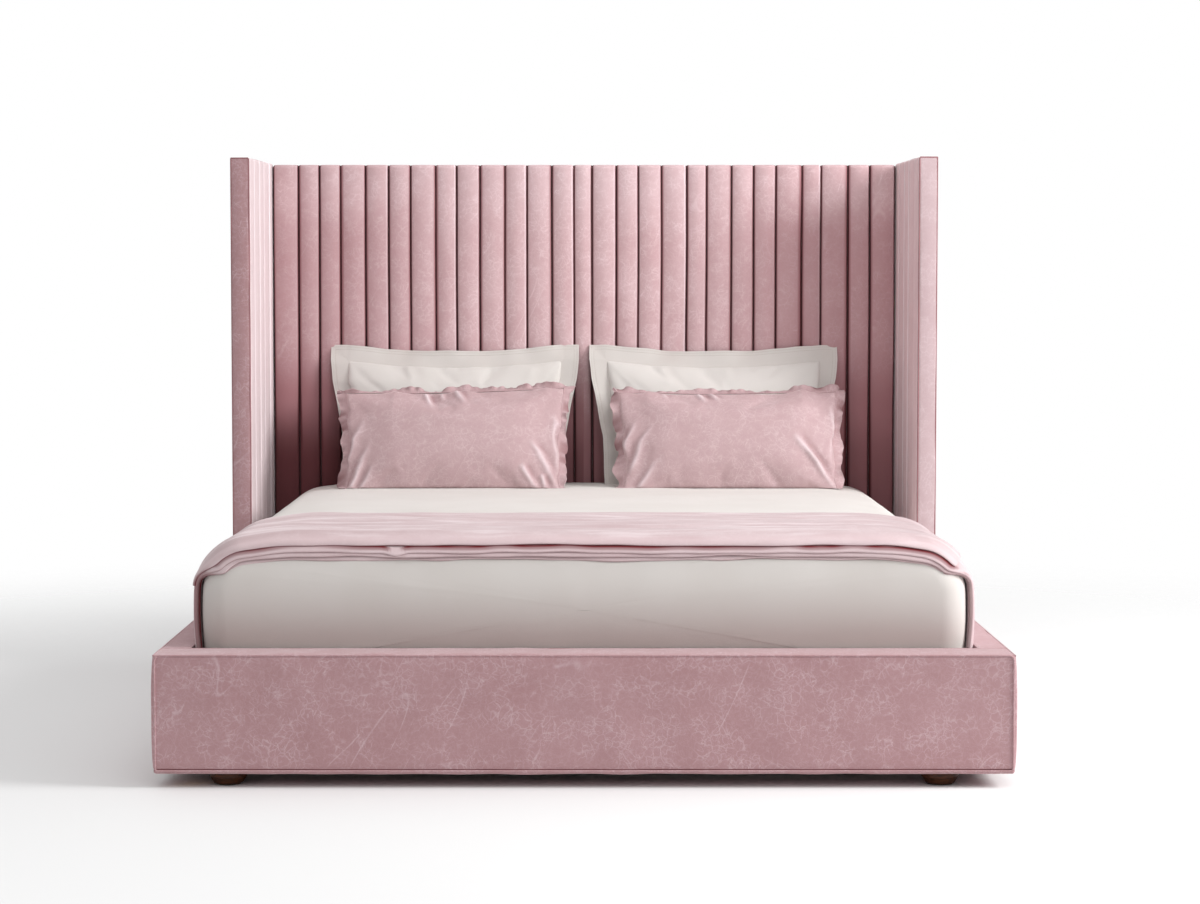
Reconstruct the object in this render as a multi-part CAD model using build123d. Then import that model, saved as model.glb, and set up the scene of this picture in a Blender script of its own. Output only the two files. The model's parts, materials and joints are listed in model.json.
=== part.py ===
from build123d import *
import os
from math import atan2, cos, degrees, radians, sin, sqrt, tan

# Upholstered double bed with a tall channelled headboard, two splayed wings, low padded rails,
# a sprung slatted base, a mattress in a fitted sheet, a folded throw and four pillows.
# Units are millimetres. +X is the sleeper's right seen from the foot, +Y runs from foot to head, +Z is up.
# The origin is on the floor, in the middle of the bed's length and width.

# Shared fits
seat_gap = 0.3           # air between two soft or curved pieces at rest
bolt_clearance = 0.25    # radial clearance round a bolt shank
overrun = 6.0            # how far a cutting tool runs past the face that it cuts

# Mattress, over its fitted sheet
mattress_width = 1800.0
mattress_length = 2000.0
mattress_edge_height = 294.0
mattress_crown = 24.0
mattress_shoulder = 190.0
mattress_shoulder_radius = 700.0
mattress_edge_radius = 110.0
mattress_end_radius = 65.0
mattress_side_bulge = 8.0
mattress_comfort_depth = 70.0
spring_unit_margin = 75.0
spring_unit_base_margin = 25.0
sheet_thickness = 3.0
sheet_hem_width = 70.0

# Padded rails and footboard
foot_height = 32.0
panel_height = 275.0
mattress_sink = 67.0
rail_thickness = 70.0
rail_padding = 20.0
rail_gap = 20.0
footboard_thickness = 125.0
footboard_gap = 10.0
top_padding = 15.0
edge_softness = 7.0
ladder_end_post = 135.0
ladder_post = 60.0
ladder_beam = 55.0
footboard_bays = 5

# Headboard
headboard_height = 1518.0
headboard_gap = 5.0
pad_thickness = 40.0
groove_depth = 24.0
channel_corner = 13.0
channel_crown = 4.0
flank_fullness_share = 0.9
panel_margin = 50.0
front_ply_thickness = 12.0
headboard_frame_depth = 56.0
back_padding = 12.0
headboard_bays = 4
headboard_tiers = 3
lower_pad_thickness = 30.0
channel_width_shares = (
    25, 21, 21, 25, 23, 22, 25, 21, 23, 25, 22, 25, 22, 18,
    24, 22, 23, 25, 20, 25, 22, 22, 26, 19, 27, 22, 25,
)

# Wings
wing_depth = 300.0
wing_thickness = 56.0
wing_splay = 6.0         # degrees outwards from the bed's length
wing_rise = 7.0
wing_pad_thickness = 17.0
wing_board_thickness = 27.0
wing_front_padding = 18.0
wing_top_padding = 12.0
wing_groove_depth = 9.0
wing_channel_corner = 8.0
wing_channel_crown = 2.5
wing_channel_shares = (20, 24, 21, 24, 20)

# Fasteners
bolt_diameter = 8.0
bolt_head_width = 13.0
bolt_pocket_diameter = 17.0
bolt_head_height = 5.0
rail_bolt_bite = 22.0
screw_diameter = 5.0
screw_head_width = 9.0
screw_head_height = 3.0
screw_bite = 22.0
wing_bolt_bite = 45.0
wing_bolt_count = 2

# Corner brackets
bracket_flange = 58.0
bracket_height = 104.0
bracket_steel = 4.0
bracket_lift = 26.0
bracket_bolt_rows_shares = (0.22, 0.78)
bracket_bolt_reach_share = 0.6

# Slatted base
ledger_width = 30.0
ledger_height = 40.0
ledger_screw_count = 3
slat_count = 13
slat_width = 64.0
slat_thickness = 8.0
slat_bow = 12.0
slat_end_margin = 70.0
holder_wall = 3.0
holder_base = 2.0
holder_reach = 26.0
holder_slack = 0.4
beam_width = 60.0
beam_height = 40.0
beam_wall = 2.0
saddle_steel = 3.0
saddle_reach = 50.0
saddle_clearance = 0.4
leg_count = 2
leg_diameter = 38.0
leg_plate_width = 56.0
leg_plate_thickness = 4.0
leg_glide_height = 9.0
leg_glide_diameter = 46.0

# Turned feet
foot_diameter = 86.0
foot_sole_diameter = 66.0
foot_collar_height = 13.0
foot_inset = 165.0
foot_glide_height = 3.0
foot_glide_diameter = 58.0
foot_stud_rise = 24.0
foot_stud_depth = 18.0
rear_foot_setback = 3.0

# Folded throw
throw_layer = 5.0
throw_back_reach = 622.0
throw_hem_drop = 20.0
throw_side_drop = 250.0
throw_flap_drop = 118.0
throw_layer_step = 42.0
throw_layers = 3

# Pillows: the back pair is plain, the front pair is shorter
back_pillow_width = 658.0
back_pillow_height = 380.0
back_pillow_thickness = 130.0
back_pillow_flange = 50.0
back_pillow_tilt = 18.0  # degrees from upright
back_pillow_spacing = 786.0
front_pillow_width = 660.0
front_pillow_height = 322.0
front_pillow_thickness = 130.0
front_pillow_flange = 34.0
front_pillow_tilt = 32.0
front_pillow_left = 387.0
front_pillow_right = 430.0
pillow_flange_foot = 8.0
pillow_flange_thickness = 5.0
pillow_edge_thickness = 10.0
pillow_draw_in = 10.0
pillow_corner_radius = 16.0
pillow_station_shares = (-1.0, -0.86, -0.5, 0.0, 0.5, 0.86, 1.0)

# Levels
frame_bottom = foot_height
frame_top = frame_bottom + panel_height
mattress_base = frame_top - mattress_sink
mattress_shoulder_level = mattress_base + mattress_edge_height
mattress_top = mattress_shoulder_level + mattress_crown
slat_end_bottom = mattress_base - seat_gap - slat_bow - slat_thickness
ledger_top = slat_end_bottom - holder_base
wing_top = headboard_height + wing_rise

# Places across the bed
rail_inner = mattress_width / 2 + rail_gap
rail_outer = rail_inner + rail_thickness
bed_width = 2 * rail_outer
panel_half_width = mattress_width / 2 + panel_margin
splay = radians(wing_splay)
wing_root = panel_half_width - pad_thickness * tan(splay)
headboard_half_width = wing_root + wing_thickness / cos(splay)

# Places along the bed
headboard_depth = front_ply_thickness + headboard_frame_depth + back_padding
bed_length = (footboard_thickness + footboard_gap + mattress_length + headboard_gap
              + pad_thickness + headboard_depth)
footboard_front = -bed_length / 2
footboard_back = footboard_front + footboard_thickness
mattress_foot = footboard_back + footboard_gap
mattress_head = mattress_foot + mattress_length
pad_face = mattress_head + headboard_gap
pad_back = pad_face + pad_thickness
frame_face = pad_back + front_ply_thickness
frame_back = frame_face + headboard_frame_depth
bed_back = bed_length / 2
lower_pad_face = pad_back - lower_pad_thickness
wing_length = (wing_depth + pad_thickness) / cos(splay)
bracket_edge = rail_inner - bracket_flange


def block(x_low, x_high, y_low, y_high, z_low, z_high):
    """A box between two corners."""
    size = (x_high - x_low, y_high - y_low, z_high - z_low)
    centre = ((x_low + x_high) / 2, (y_low + y_high) / 2, (z_low + z_high) / 2)
    return Pos(*centre) * Box(*size)


def both_sides(shape):
    """The shape and its mirror image across the bed's middle plane."""
    return {"right": shape, "left": mirror(shape, about=Plane.YZ)}


def rod(start, direction, diameter, length):
    """A round bar from a point along a direction."""
    plane = Plane(origin=start, z_dir=direction)
    return plane * Cylinder(diameter / 2, length, align=(Align.CENTER, Align.CENTER, Align.MIN))


def headed(start, direction, shank, length, head_width, head_height):
    """A hexagon bolt or coach screw: its shank starts under the head and runs along the direction."""
    backwards = tuple(-d for d in direction)
    hexagon = Plane(origin=start, z_dir=backwards) * RegularPolygon(head_width / 2, 6, major_radius=False)
    return rod(start, direction, shank, length) + extrude(hexagon, head_height, dir=backwards)


def bolt(start, direction, length):
    """A steel bolt of the frame's joints."""
    return headed(start, direction, bolt_diameter, length, bolt_head_width, bolt_head_height)


def screw(start, direction, length):
    """A coach screw of the ledgers and saddles."""
    return headed(start, direction, screw_diameter, length, screw_head_width, screw_head_height)


def softened(edges):
    """The padded box that these edges belong to, with each of them rounded."""
    return fillet(edges, edge_softness)


# Mattress

def crowned_profile(grow, bulge, lift):
    """The mattress cut across the bed: bulging sides, rounded edges, soft shoulders and a flat top."""
    half = mattress_width / 2 + grow
    side = half - bulge
    base = mattress_base + lift
    shoulder = mattress_shoulder_level + grow
    top = shoulder + mattress_crown
    middle = (base + shoulder) / 2
    flat = half - mattress_shoulder
    edges = [Line((-side, base), (side, base))]
    edges += Polyline((side, shoulder), (flat, top), (-flat, top), (-side, shoulder)).edges()
    if bulge:
        edges.append(ThreePointArc((side, base), (half, middle), (side, shoulder)))
        edges.append(ThreePointArc((-side, shoulder), (-half, middle), (-side, base)))
    else:
        edges.append(Line((side, base), (side, shoulder)))
        edges.append(Line((-side, shoulder), (-side, base)))
    face = make_face(edges)
    face = fillet(face.vertices().group_by(Axis.Y)[-1], mattress_shoulder_radius)
    return fillet(face.vertices().group_by(Axis.Y)[1], mattress_edge_radius + grow)


def mattress_form(grow, bulge=mattress_side_bulge, lift=0.0):
    """The mattress's outer form, grown by a layer all round, with its base lifted."""
    reach = mattress_length / 2 + grow
    middle = (mattress_foot + mattress_head) / 2
    form = extrude(Plane.XZ * crowned_profile(grow, bulge, lift), reach, both=True)
    faces = form.faces().sort_by(Axis.Y)
    outline = faces[0].edges().sort_by(Axis.Z)[1:] + faces[-1].edges().sort_by(Axis.Z)[1:]
    return Pos(0, middle, 0) * fillet(outline, mattress_end_radius + grow)


def mattress():
    """The spring unit, the foam round and over it, and the fitted sheet."""
    outer = mattress_form(0.0)
    inside = mattress_form(-sheet_thickness, lift=sheet_thickness)
    half = mattress_width / 2
    comfort_level = mattress_shoulder_level - mattress_comfort_depth
    spring = block(
        -half + spring_unit_margin, half - spring_unit_margin,
        mattress_foot + spring_unit_margin, mattress_head - spring_unit_margin,
        mattress_base + spring_unit_base_margin, comfort_level,
    )
    above = block(
        -mattress_width, mattress_width, -mattress_length, mattress_length,
        comfort_level, mattress_top + overrun,
    )
    opening = block(
        -half + sheet_hem_width, half - sheet_hem_width,
        mattress_foot + sheet_hem_width, mattress_head - sheet_hem_width,
        mattress_base - overrun, mattress_base + sheet_thickness,
    )
    return {
        "mattress_spring_unit": spring,
        "mattress_foam_surround": inside - above - spring,
        "mattress_comfort_layer": inside & above,
        "fitted_sheet": outer - inside - opening,
    }


def throw():
    """The folded blanket over the foot of the mattress: its layers' front hems step back one by one."""
    layers = None
    back = mattress_foot + throw_back_reach
    reach = mattress_width
    for number in range(throw_layers):
        low = seat_gap + number * throw_layer
        shell = mattress_form(low + throw_layer, bulge=0.0) - mattress_form(low, bulge=0.0)
        step = number * throw_layer_step
        front = mattress_foot - throw_layer * throw_layers - seat_gap + step
        drop = throw_flap_drop if number else throw_side_drop
        hem = mattress_shoulder_level - throw_hem_drop
        top = mattress_top + throw_layer * throw_layers + overrun
        over = block(-reach, reach, front, back, hem, top)
        side_front = mattress_foot + mattress_end_radius + step
        sides = block(-reach, reach, side_front, back, mattress_shoulder_level - drop, top)
        layer = shell & (over + sides)
        layers = layer if layers is None else layers + layer
    return {"throw": layers}


# Pillows

def crown_radius(height, thickness):
    """The radius of the arc over a pillow's face."""
    half, rise = height / 2, thickness / 2
    return (half * half + rise * rise) / (2 * rise)


def lens(share, height, thickness):
    """A pillow cut through its thickness at a share of its half width: two shallow arcs."""
    drawn = pillow_draw_in * (1 - share * share)
    half = height / 2 - drawn
    fullness = sqrt(max(1 - share * share, 0))
    rise = max(thickness / 2 * fullness, pillow_edge_thickness / 2)
    front = ThreePointArc((-half, 0), (0, -rise), (half, 0))
    back = ThreePointArc((half, 0), (0, rise), (-half, 0))
    return make_face([front, back])


def pillow(width, height, thickness, flange):
    """A pillow in its flanged case, upright, with its face to -Y and its middle at the origin."""
    stations = []
    for share in pillow_station_shares:
        plane = Plane(origin=(share * width / 2, 0, 0), x_dir=(0, 0, 1), z_dir=(1, 0, 0))
        stations.append(plane * lens(share, height, thickness))
    body = loft(stations, ruled=True)
    side = width / 2 + flange
    high = height / 2 + flange
    low = -height / 2 - pillow_flange_foot
    dip = pillow_draw_in
    outline = [
        ThreePointArc((-side, high), (0, high - dip), (side, high)),
        ThreePointArc((side, high), (side - dip, (high + low) / 2), (side, low)),
        Line((side, low), (-side, low)),
        ThreePointArc((-side, low), (dip - side, (high + low) / 2), (-side, high)),
    ]
    border = make_face(outline)
    border = fillet(border.vertices(), pillow_corner_radius)
    plate = extrude(Plane.XZ * border, pillow_flange_thickness / 2, both=True)
    return body + plate


def pillow_middle_level(height, tilt):
    """How high a leaning pillow's middle stands, with its lower flange on the mattress."""
    lean = radians(tilt)
    reach = (height / 2 + pillow_flange_foot) * cos(lean)
    return mattress_top + seat_gap + reach + pillow_flange_thickness / 2 * sin(lean)


def pillows():
    """Two pillows that lean on the headboard, and two that lean on them."""
    lean_back = radians(back_pillow_tilt)
    lean_front = radians(front_pillow_tilt)
    back_radius = crown_radius(back_pillow_height, back_pillow_thickness)
    front_radius = crown_radius(front_pillow_height, front_pillow_thickness)
    back_z = pillow_middle_level(back_pillow_height, back_pillow_tilt)
    front_z = pillow_middle_level(front_pillow_height, front_pillow_tilt)
    # The back pillow's rear crown is an arc. Its centre lies in front of the pillow's middle plane.
    sunk_back = back_radius - back_pillow_thickness / 2
    rear_reach = back_radius - sunk_back * cos(lean_back)
    tip_reach = (back_pillow_height / 2 + back_pillow_flange) * sin(lean_back) + pillow_flange_thickness / 2
    back_y = pad_face - seat_gap - max(rear_reach, tip_reach)
    # The front pillow's rear crown and the back pillow's front crown touch where their arcs' centres are
    # as far apart as the two radii.
    sunk_front = front_radius - front_pillow_thickness / 2
    centre_back_y = back_y + sunk_back * cos(lean_back)
    centre_back_z = back_z - sunk_back * sin(lean_back)
    centre_front_z = front_z + sunk_front * sin(lean_front)
    apart = back_radius + front_radius + seat_gap
    rise = centre_front_z - centre_back_z
    centre_front_y = centre_back_y - sqrt(apart * apart - rise * rise)
    front_y = centre_front_y + sunk_front * cos(lean_front)

    back = pillow(back_pillow_width, back_pillow_height, back_pillow_thickness, back_pillow_flange)
    back = Rot(-back_pillow_tilt, 0, 0) * back
    front = pillow(front_pillow_width, front_pillow_height, front_pillow_thickness, front_pillow_flange)
    front = Rot(-front_pillow_tilt, 0, 0) * front
    half_spacing = back_pillow_spacing / 2
    return {
        "pillow_back_left": Pos(-half_spacing, back_y, back_z) * back,
        "pillow_back_right": Pos(half_spacing, back_y, back_z) * back,
        "pillow_front_left": Pos(-front_pillow_left, front_y, front_z) * front,
        "pillow_front_right": Pos(front_pillow_right, front_y, front_z) * front,
    }


# Fastener places, shared by the holes and the fasteners

def bracket_bolts(end):
    """Start points and directions of the bolts in the right-hand bracket at the foot or head end."""
    at_foot = end == "foot"
    face = footboard_back if at_foot else pad_back
    inward = 1 if at_foot else -1
    reach = bracket_flange * bracket_bolt_reach_share
    low = frame_bottom + bracket_lift
    places = []
    for share in bracket_bolt_rows_shares:
        level = low + share * bracket_height
        places.append(((rail_inner - bracket_steel, face + inward * reach, level), (1, 0, 0)))
        places.append(((rail_inner - reach, face + inward * bracket_steel, level), (0, -inward, 0)))
    return places


def corner_bolts(grow=0.0):
    """All the bracket bolts on the right, or the bars that cut their holes."""
    bolts = []
    for end in ("foot", "head"):
        for start, direction in bracket_bolts(end):
            length = bracket_steel + rail_padding + rail_bolt_bite
            if grow:
                bolts.append(rod(start, direction, bolt_diameter + 2 * grow, length + grow))
            else:
                bolts.append(bolt(start, direction, length))
    return bolts


def ledger_screws(grow=0.0):
    """The screws that hold the right ledger to its rail, or the bars that cut their holes."""
    screws = []
    length = pad_back - footboard_back
    level = ledger_top - ledger_height / 2
    for number in range(ledger_screw_count):
        along = footboard_back + length * (number + 0.5) / ledger_screw_count
        start = (rail_inner - ledger_width, along, level)
        reach = ledger_width + rail_padding + screw_bite
        if grow:
            screws.append(rod(start, (1, 0, 0), screw_diameter + 2 * grow, reach + grow))
        else:
            screws.append(screw(start, (1, 0, 0), reach))
    return screws


def wing_bolts(grow=0.0):
    """The bolts from the back of the headboard frame into the right wing's board."""
    middle = wing_pad_thickness + wing_board_thickness / 2
    bite = wing_point(wing_bolt_bite / 2, middle)
    bolts = []
    for number in range(wing_bolt_count):
        level = frame_top + (wing_top - frame_top) * (number + 0.5) / wing_bolt_count
        start = (bite[0], frame_back - bolt_head_height, level)
        reach = headboard_frame_depth - bolt_head_height + front_ply_thickness + wing_bolt_bite
        if grow:
            pocket = rod(start, (0, 1, 0), bolt_pocket_diameter, bolt_head_height + overrun)
            bolts.append(rod(start, (0, -1, 0), bolt_diameter + 2 * grow, reach + grow) + pocket)
        else:
            bolts.append(bolt(start, (0, -1, 0), reach))
    return bolts


def foot_places():
    """Where the four feet stand."""
    across = rail_outer - foot_inset
    front = (footboard_front + footboard_back) / 2
    rear = bed_back - rear_foot_setback - foot_diameter / 2
    return {
        "front_left": (-across, front), "front_right": (across, front),
        "rear_left": (-across, rear), "rear_right": (across, rear),
    }


def foot_studs(grow=0.0):
    """The threaded studs that join the feet to the footboard and the headboard."""
    studs = []
    for x, y in foot_places().values():
        low = frame_bottom - foot_stud_depth - grow
        length = foot_stud_depth + foot_stud_rise + 2 * grow
        studs.append(rod((x, y, low), (0, 0, 1), bolt_diameter + 2 * grow, length))
    return studs


def mirrored_list(shapes):
    """The shapes and their mirror images."""
    return shapes + [mirror(s, about=Plane.YZ) for s in shapes]


def cut_all(shape, tools):
    """The shape with every tool cut from it."""
    for tool in tools:
        shape = shape - tool
    return shape


# Footboard and side rails

def ladder(x_half, y_low, y_high, z_low, z_high, bays, tiers):
    """A timber ladder frame: a box with a grid of windows between its posts and beams."""
    frame = block(-x_half, x_half, y_low, y_high, z_low, z_high)
    first = -x_half + ladder_end_post
    bay = (2 * (x_half - ladder_end_post) - (bays - 1) * ladder_post) / bays
    tier = (z_high - z_low - (tiers + 1) * ladder_beam) / tiers
    for column in range(bays):
        x = first + column * (bay + ladder_post)
        for row in range(tiers):
            z = z_low + ladder_beam + row * (tier + ladder_beam)
            frame = frame - block(x, x + bay, y_low - overrun, y_high + overrun, z, z + tier)
    return frame


def footboard():
    """A ladder frame in a padded cover that is open below."""
    half = rail_outer - rail_padding
    low, high = footboard_front + rail_padding, footboard_back - rail_padding
    top = frame_top - top_padding
    carcass = ladder(half, low, high, frame_bottom, top, footboard_bays, 1)
    carcass = cut_all(carcass, mirrored_list(corner_bolts(bolt_clearance)) + foot_studs(bolt_clearance))
    cover = block(-rail_outer, rail_outer, footboard_front, footboard_back, frame_bottom, frame_top)
    cover = softened(cover.edges())
    cover = cover - block(-half, half, low, high, frame_bottom - overrun, top)
    cover = cut_all(cover, mirrored_list(corner_bolts(bolt_clearance)))
    return {"footboard_carcass": carcass, "footboard_cover": cover}


def side_rails():
    """A board in a padded cover on each side, between the footboard and the headboard."""
    low, high = rail_inner + rail_padding, rail_outer - rail_padding
    top = frame_top - top_padding
    board = block(low, high, footboard_back, pad_back, frame_bottom, top)
    cover = block(rail_inner, rail_outer, footboard_back, pad_back, frame_bottom, frame_top)
    cover = softened(cover.edges().filter_by(Axis.Y))
    cover = cover - block(low, high, footboard_back - overrun, pad_back + overrun,
                          frame_bottom - overrun, top)
    tools = corner_bolts(bolt_clearance) + ledger_screws(bolt_clearance)
    boards = both_sides(cut_all(board, tools))
    covers = both_sides(cut_all(cover, tools))
    return {
        "side_rail_board_left": boards["left"], "side_rail_board_right": boards["right"],
        "side_rail_cover_left": covers["left"], "side_rail_cover_right": covers["right"],
    }


# Channelled pads

def rounded_flank(start, end):
    """An arc between a groove's bottom and a channel's shoulder that stays on its own side of the groove."""
    across, up = abs(end[0] - start[0]), abs(end[1] - start[1])
    upright = atan2(across, up)
    rise = flank_fullness_share * sqrt(across * across + up * up) / 2 * tan(upright / 2)
    return SagittaArc(start, end, -rise)


def channel_edge(start, end, face, groove, corner, crown):
    """One channel's front in plan: two rounded flanks and a slightly crowned face between them."""
    left, right = start + corner, end - corner
    return [
        rounded_flank((start, groove), (left, face + crown)),
        ThreePointArc((left, face + crown), ((start + end) / 2, face), (right, face + crown)),
        rounded_flank((right, face + crown), (end, groove)),
    ]


def channelled_face(width, thickness, groove_depth, corner, crown, shares):
    """A pad in plan, from x = 0 to its width: flat at y = thickness, channelled at y = 0."""
    total = sum(shares)
    edges = []
    x = 0.0
    for share in shares:
        end = x + width * share / total
        edges += channel_edge(x, end, 0.0, groove_depth, corner, crown)
        x = end
    edges.append(Line((width, groove_depth), (width, thickness)))
    edges.append(Line((width, thickness), (0, thickness)))
    edges.append(Line((0, thickness), (0, groove_depth)))
    return make_face(edges)


def headboard():
    """Ladder frame, front board, channelled pad, plain lower pad and the cover round the back."""
    inner = headboard_half_width - back_padding
    top = headboard_height - back_padding
    frame = ladder(inner, frame_face, frame_back, frame_bottom, top, headboard_bays, headboard_tiers)
    ply = block(-inner, inner, pad_back, frame_face, frame_bottom, top)
    bolts = mirrored_list(corner_bolts(bolt_clearance) + wing_bolts(bolt_clearance))
    frame = cut_all(frame, bolts + foot_studs(bolt_clearance))
    ply = cut_all(ply, bolts)
    cover = block(-headboard_half_width, headboard_half_width, pad_back, bed_back,
                  frame_bottom, headboard_height)
    cover = softened(cover.edges().filter_by(Axis.Z).group_by(Axis.Y)[-1]
                     + cover.edges().filter_by(Axis.X).group_by(Axis.Z)[-1].sort_by(Axis.Y)[-1:])
    cover = cover - block(-inner, inner, pad_back - overrun, frame_back, frame_bottom - overrun, top)

    half = wing_root - seat_gap
    plan = channelled_face(2 * half, pad_thickness, groove_depth, channel_corner, channel_crown,
                           channel_width_shares)
    pad = extrude(Pos(-half, pad_face, frame_top) * plan, headboard_height - frame_top)
    low_half = bracket_edge - seat_gap
    lower = block(-low_half, low_half, lower_pad_face, pad_back, frame_bottom, frame_top)
    return {
        "headboard_frame": frame,
        "headboard_front_board": ply,
        "headboard_channel_pad": pad,
        "headboard_lower_pad": lower,
        "headboard_back_cover": cover,
    }


# Wings

def wing_point(along, through):
    """A point of the right wing in plan: along it from the headboard, and through it from its inner face."""
    x = wing_root + along * sin(splay) + through * cos(splay)
    y = pad_back - along * cos(splay) + through * sin(splay)
    return (x, y)


def wing_plan(inner, outer, front):
    """A slice of the wing in plan, cut off square to the bed where it meets the headboard."""
    rear_inner = wing_point(inner * tan(splay), inner)
    rear_outer = wing_point(outer * tan(splay), outer)
    outline = [rear_inner, wing_point(front, inner), wing_point(front, outer), rear_outer]
    return make_face(Polyline(*outline, close=True))


def wings():
    """A board in each wing, a channelled pad on its inner face and a cover round the rest."""
    outer_board = wing_pad_thickness + wing_board_thickness
    front = wing_length - wing_front_padding
    tall = wing_top - frame_top
    at_base = Pos(0, 0, frame_top)
    board = extrude(at_base * wing_plan(wing_pad_thickness, outer_board, front), tall - wing_top_padding)
    cover = extrude(at_base * wing_plan(0, wing_thickness, wing_length), tall)
    cover = softened(cover.edges().filter_by(Axis.Z).sort_by(Axis.Y)[:2])
    pocket = extrude(at_base * wing_plan(0, wing_pad_thickness, front), tall)
    cover = cover - board - pocket

    root = wing_point(0, 0)
    pad_length = front - seat_gap
    plan = channelled_face(pad_length, wing_pad_thickness, wing_groove_depth, wing_channel_corner,
                           wing_channel_crown, wing_channel_shares)
    turned = Pos(root[0], root[1], frame_top) * Rot(0, 0, degrees(splay) - 90) * plan
    pad = extrude(turned, tall)
    pad = pad & block(0, bed_width, -bed_length, pad_back, 0, 2 * wing_top)

    board = cut_all(board, wing_bolts(bolt_clearance))
    boards, covers, pads = both_sides(board), both_sides(cover), both_sides(pad)
    return {
        "wing_board_left": boards["left"], "wing_board_right": boards["right"],
        "wing_cover_left": covers["left"], "wing_cover_right": covers["right"],
        "wing_channel_pad_left": pads["left"], "wing_channel_pad_right": pads["right"],
    }


# Metalwork

def corner_bracket(end):
    """The right-hand angle plate that ties a side rail to the footboard or the headboard."""
    at_foot = end == "foot"
    face = footboard_back if at_foot else pad_back
    inward = 1 if at_foot else -1
    low = frame_bottom + bracket_lift
    high = low + bracket_height
    near, far = sorted((face, face + inward * bracket_flange))
    plate_near, plate_far = sorted((face, face + inward * bracket_steel))
    on_rail = block(rail_inner - bracket_steel, rail_inner, near, far, low, high)
    on_panel = block(rail_inner - bracket_flange, rail_inner, plate_near, plate_far, low, high)
    return cut_all(on_rail + on_panel, corner_bolts(bolt_clearance))


def centre_beam():
    """A steel box beam down the middle, held in a saddle at each end."""
    outer_x, low, high = beam_width / 2, ledger_top - beam_height, ledger_top
    foot_end = footboard_back + saddle_steel + saddle_clearance
    head_end = lower_pad_face - saddle_steel - saddle_clearance
    beam = block(-outer_x, outer_x, foot_end, head_end, low, high)
    beam = beam - block(-outer_x + beam_wall, outer_x - beam_wall, foot_end - overrun,
                        head_end + overrun, low + beam_wall, high - beam_wall)
    return beam


def saddle(face, inward):
    """A steel cradle on an end face: back plate, shelf and two cheeks."""
    inner_x = beam_width / 2 + saddle_clearance
    outer_x = inner_x + saddle_steel
    low = ledger_top - beam_height
    y_low, y_high = sorted((face, face + inward * saddle_reach))
    cradle = block(-outer_x, outer_x, y_low, y_high, low - saddle_steel, ledger_top)
    y_low, y_high = sorted((face + inward * saddle_steel, face + inward * (saddle_reach + overrun)))
    cradle = cradle - block(-inner_x, inner_x, y_low, y_high, low, ledger_top + overrun)
    return cut_all(cradle, saddle_screws(bolt_clearance))


def saddle_screws(grow=0.0):
    """One screw through each saddle's back plate, inside the beam's hollow."""
    level = ledger_top - beam_height / 2
    seats = (
        (footboard_back, 1, rail_padding + screw_bite / 2),
        (lower_pad_face, -1, lower_pad_thickness + front_ply_thickness / 2),
    )
    screws = []
    for face, inward, bite in seats:
        start = (0, face + inward * saddle_steel, level)
        reach = saddle_steel + bite
        if grow:
            screws.append(rod(start, (0, -inward, 0), screw_diameter + 2 * grow, reach + grow))
        else:
            screws.append(screw(start, (0, -inward, 0), reach))
    return screws


def centre_legs():
    """Steel legs under the beam, each on a plastic glide."""
    beam_low = ledger_top - beam_height
    legs, glides = [], []
    length = lower_pad_face - footboard_back
    for number in range(leg_count):
        y = footboard_back + length * (number + 1) / (leg_count + 1)
        tube = rod((0, y, leg_glide_height), (0, 0, 1), leg_diameter,
                   beam_low - leg_plate_thickness - leg_glide_height)
        half = leg_plate_width / 2
        plate = block(-half, half, y - half, y + half, beam_low - leg_plate_thickness, beam_low)
        legs.append(tube + plate)
        glides.append(rod((0, y, 0), (0, 0, 1), leg_glide_diameter, leg_glide_height))
    return {"centre_legs": Compound(legs), "centre_leg_glides": Compound(glides)}


# Slats

def slat_places():
    """The middles of the slats along the bed."""
    first = footboard_back + slat_end_margin
    last = lower_pad_face - slat_end_margin
    step = (last - first) / (slat_count - 1)
    return [first + number * step for number in range(slat_count)]


def slat_span():
    """The inner and outer ends of a slat on the right of the beam."""
    return (holder_wall / 2 + seat_gap, rail_inner - holder_wall - seat_gap)


def slat(middle):
    """A bent lamella on the right of the beam, higher in its middle than at its ends."""
    inner, outer = slat_span()
    low = slat_end_bottom
    centre = (inner + outer) / 2
    lower = ThreePointArc((inner, low), (centre, low + slat_bow), (outer, low))
    upper_low = low + slat_thickness
    upper = ThreePointArc((outer, upper_low), (centre, upper_low + slat_bow), (inner, upper_low))
    outline = [lower, Line((outer, low), (outer, upper_low)), upper, Line((inner, upper_low), (inner, low))]
    face = make_face(outline)
    return Pos(0, middle, 0) * extrude(Plane.XZ * face, slat_width / 2, both=True)


def holder(x_low, x_high, middle, open_low, open_high):
    """A plastic sleeve for slat ends, open towards the slat on the sides that are named."""
    half = slat_width / 2 + holder_slack
    bend = slat_bow * 4 * holder_reach / (rail_inner - holder_wall)
    mouth_top = slat_end_bottom + slat_thickness + bend + holder_slack
    body = block(x_low, x_high, middle - half - holder_wall, middle + half + holder_wall,
                 ledger_top, mouth_top + holder_wall)
    left = x_low - overrun if open_low else x_low + holder_wall
    right = x_high + overrun if open_high else x_high - holder_wall
    return body - block(left, right, middle - half, middle + half, slat_end_bottom, mouth_top)


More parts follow.
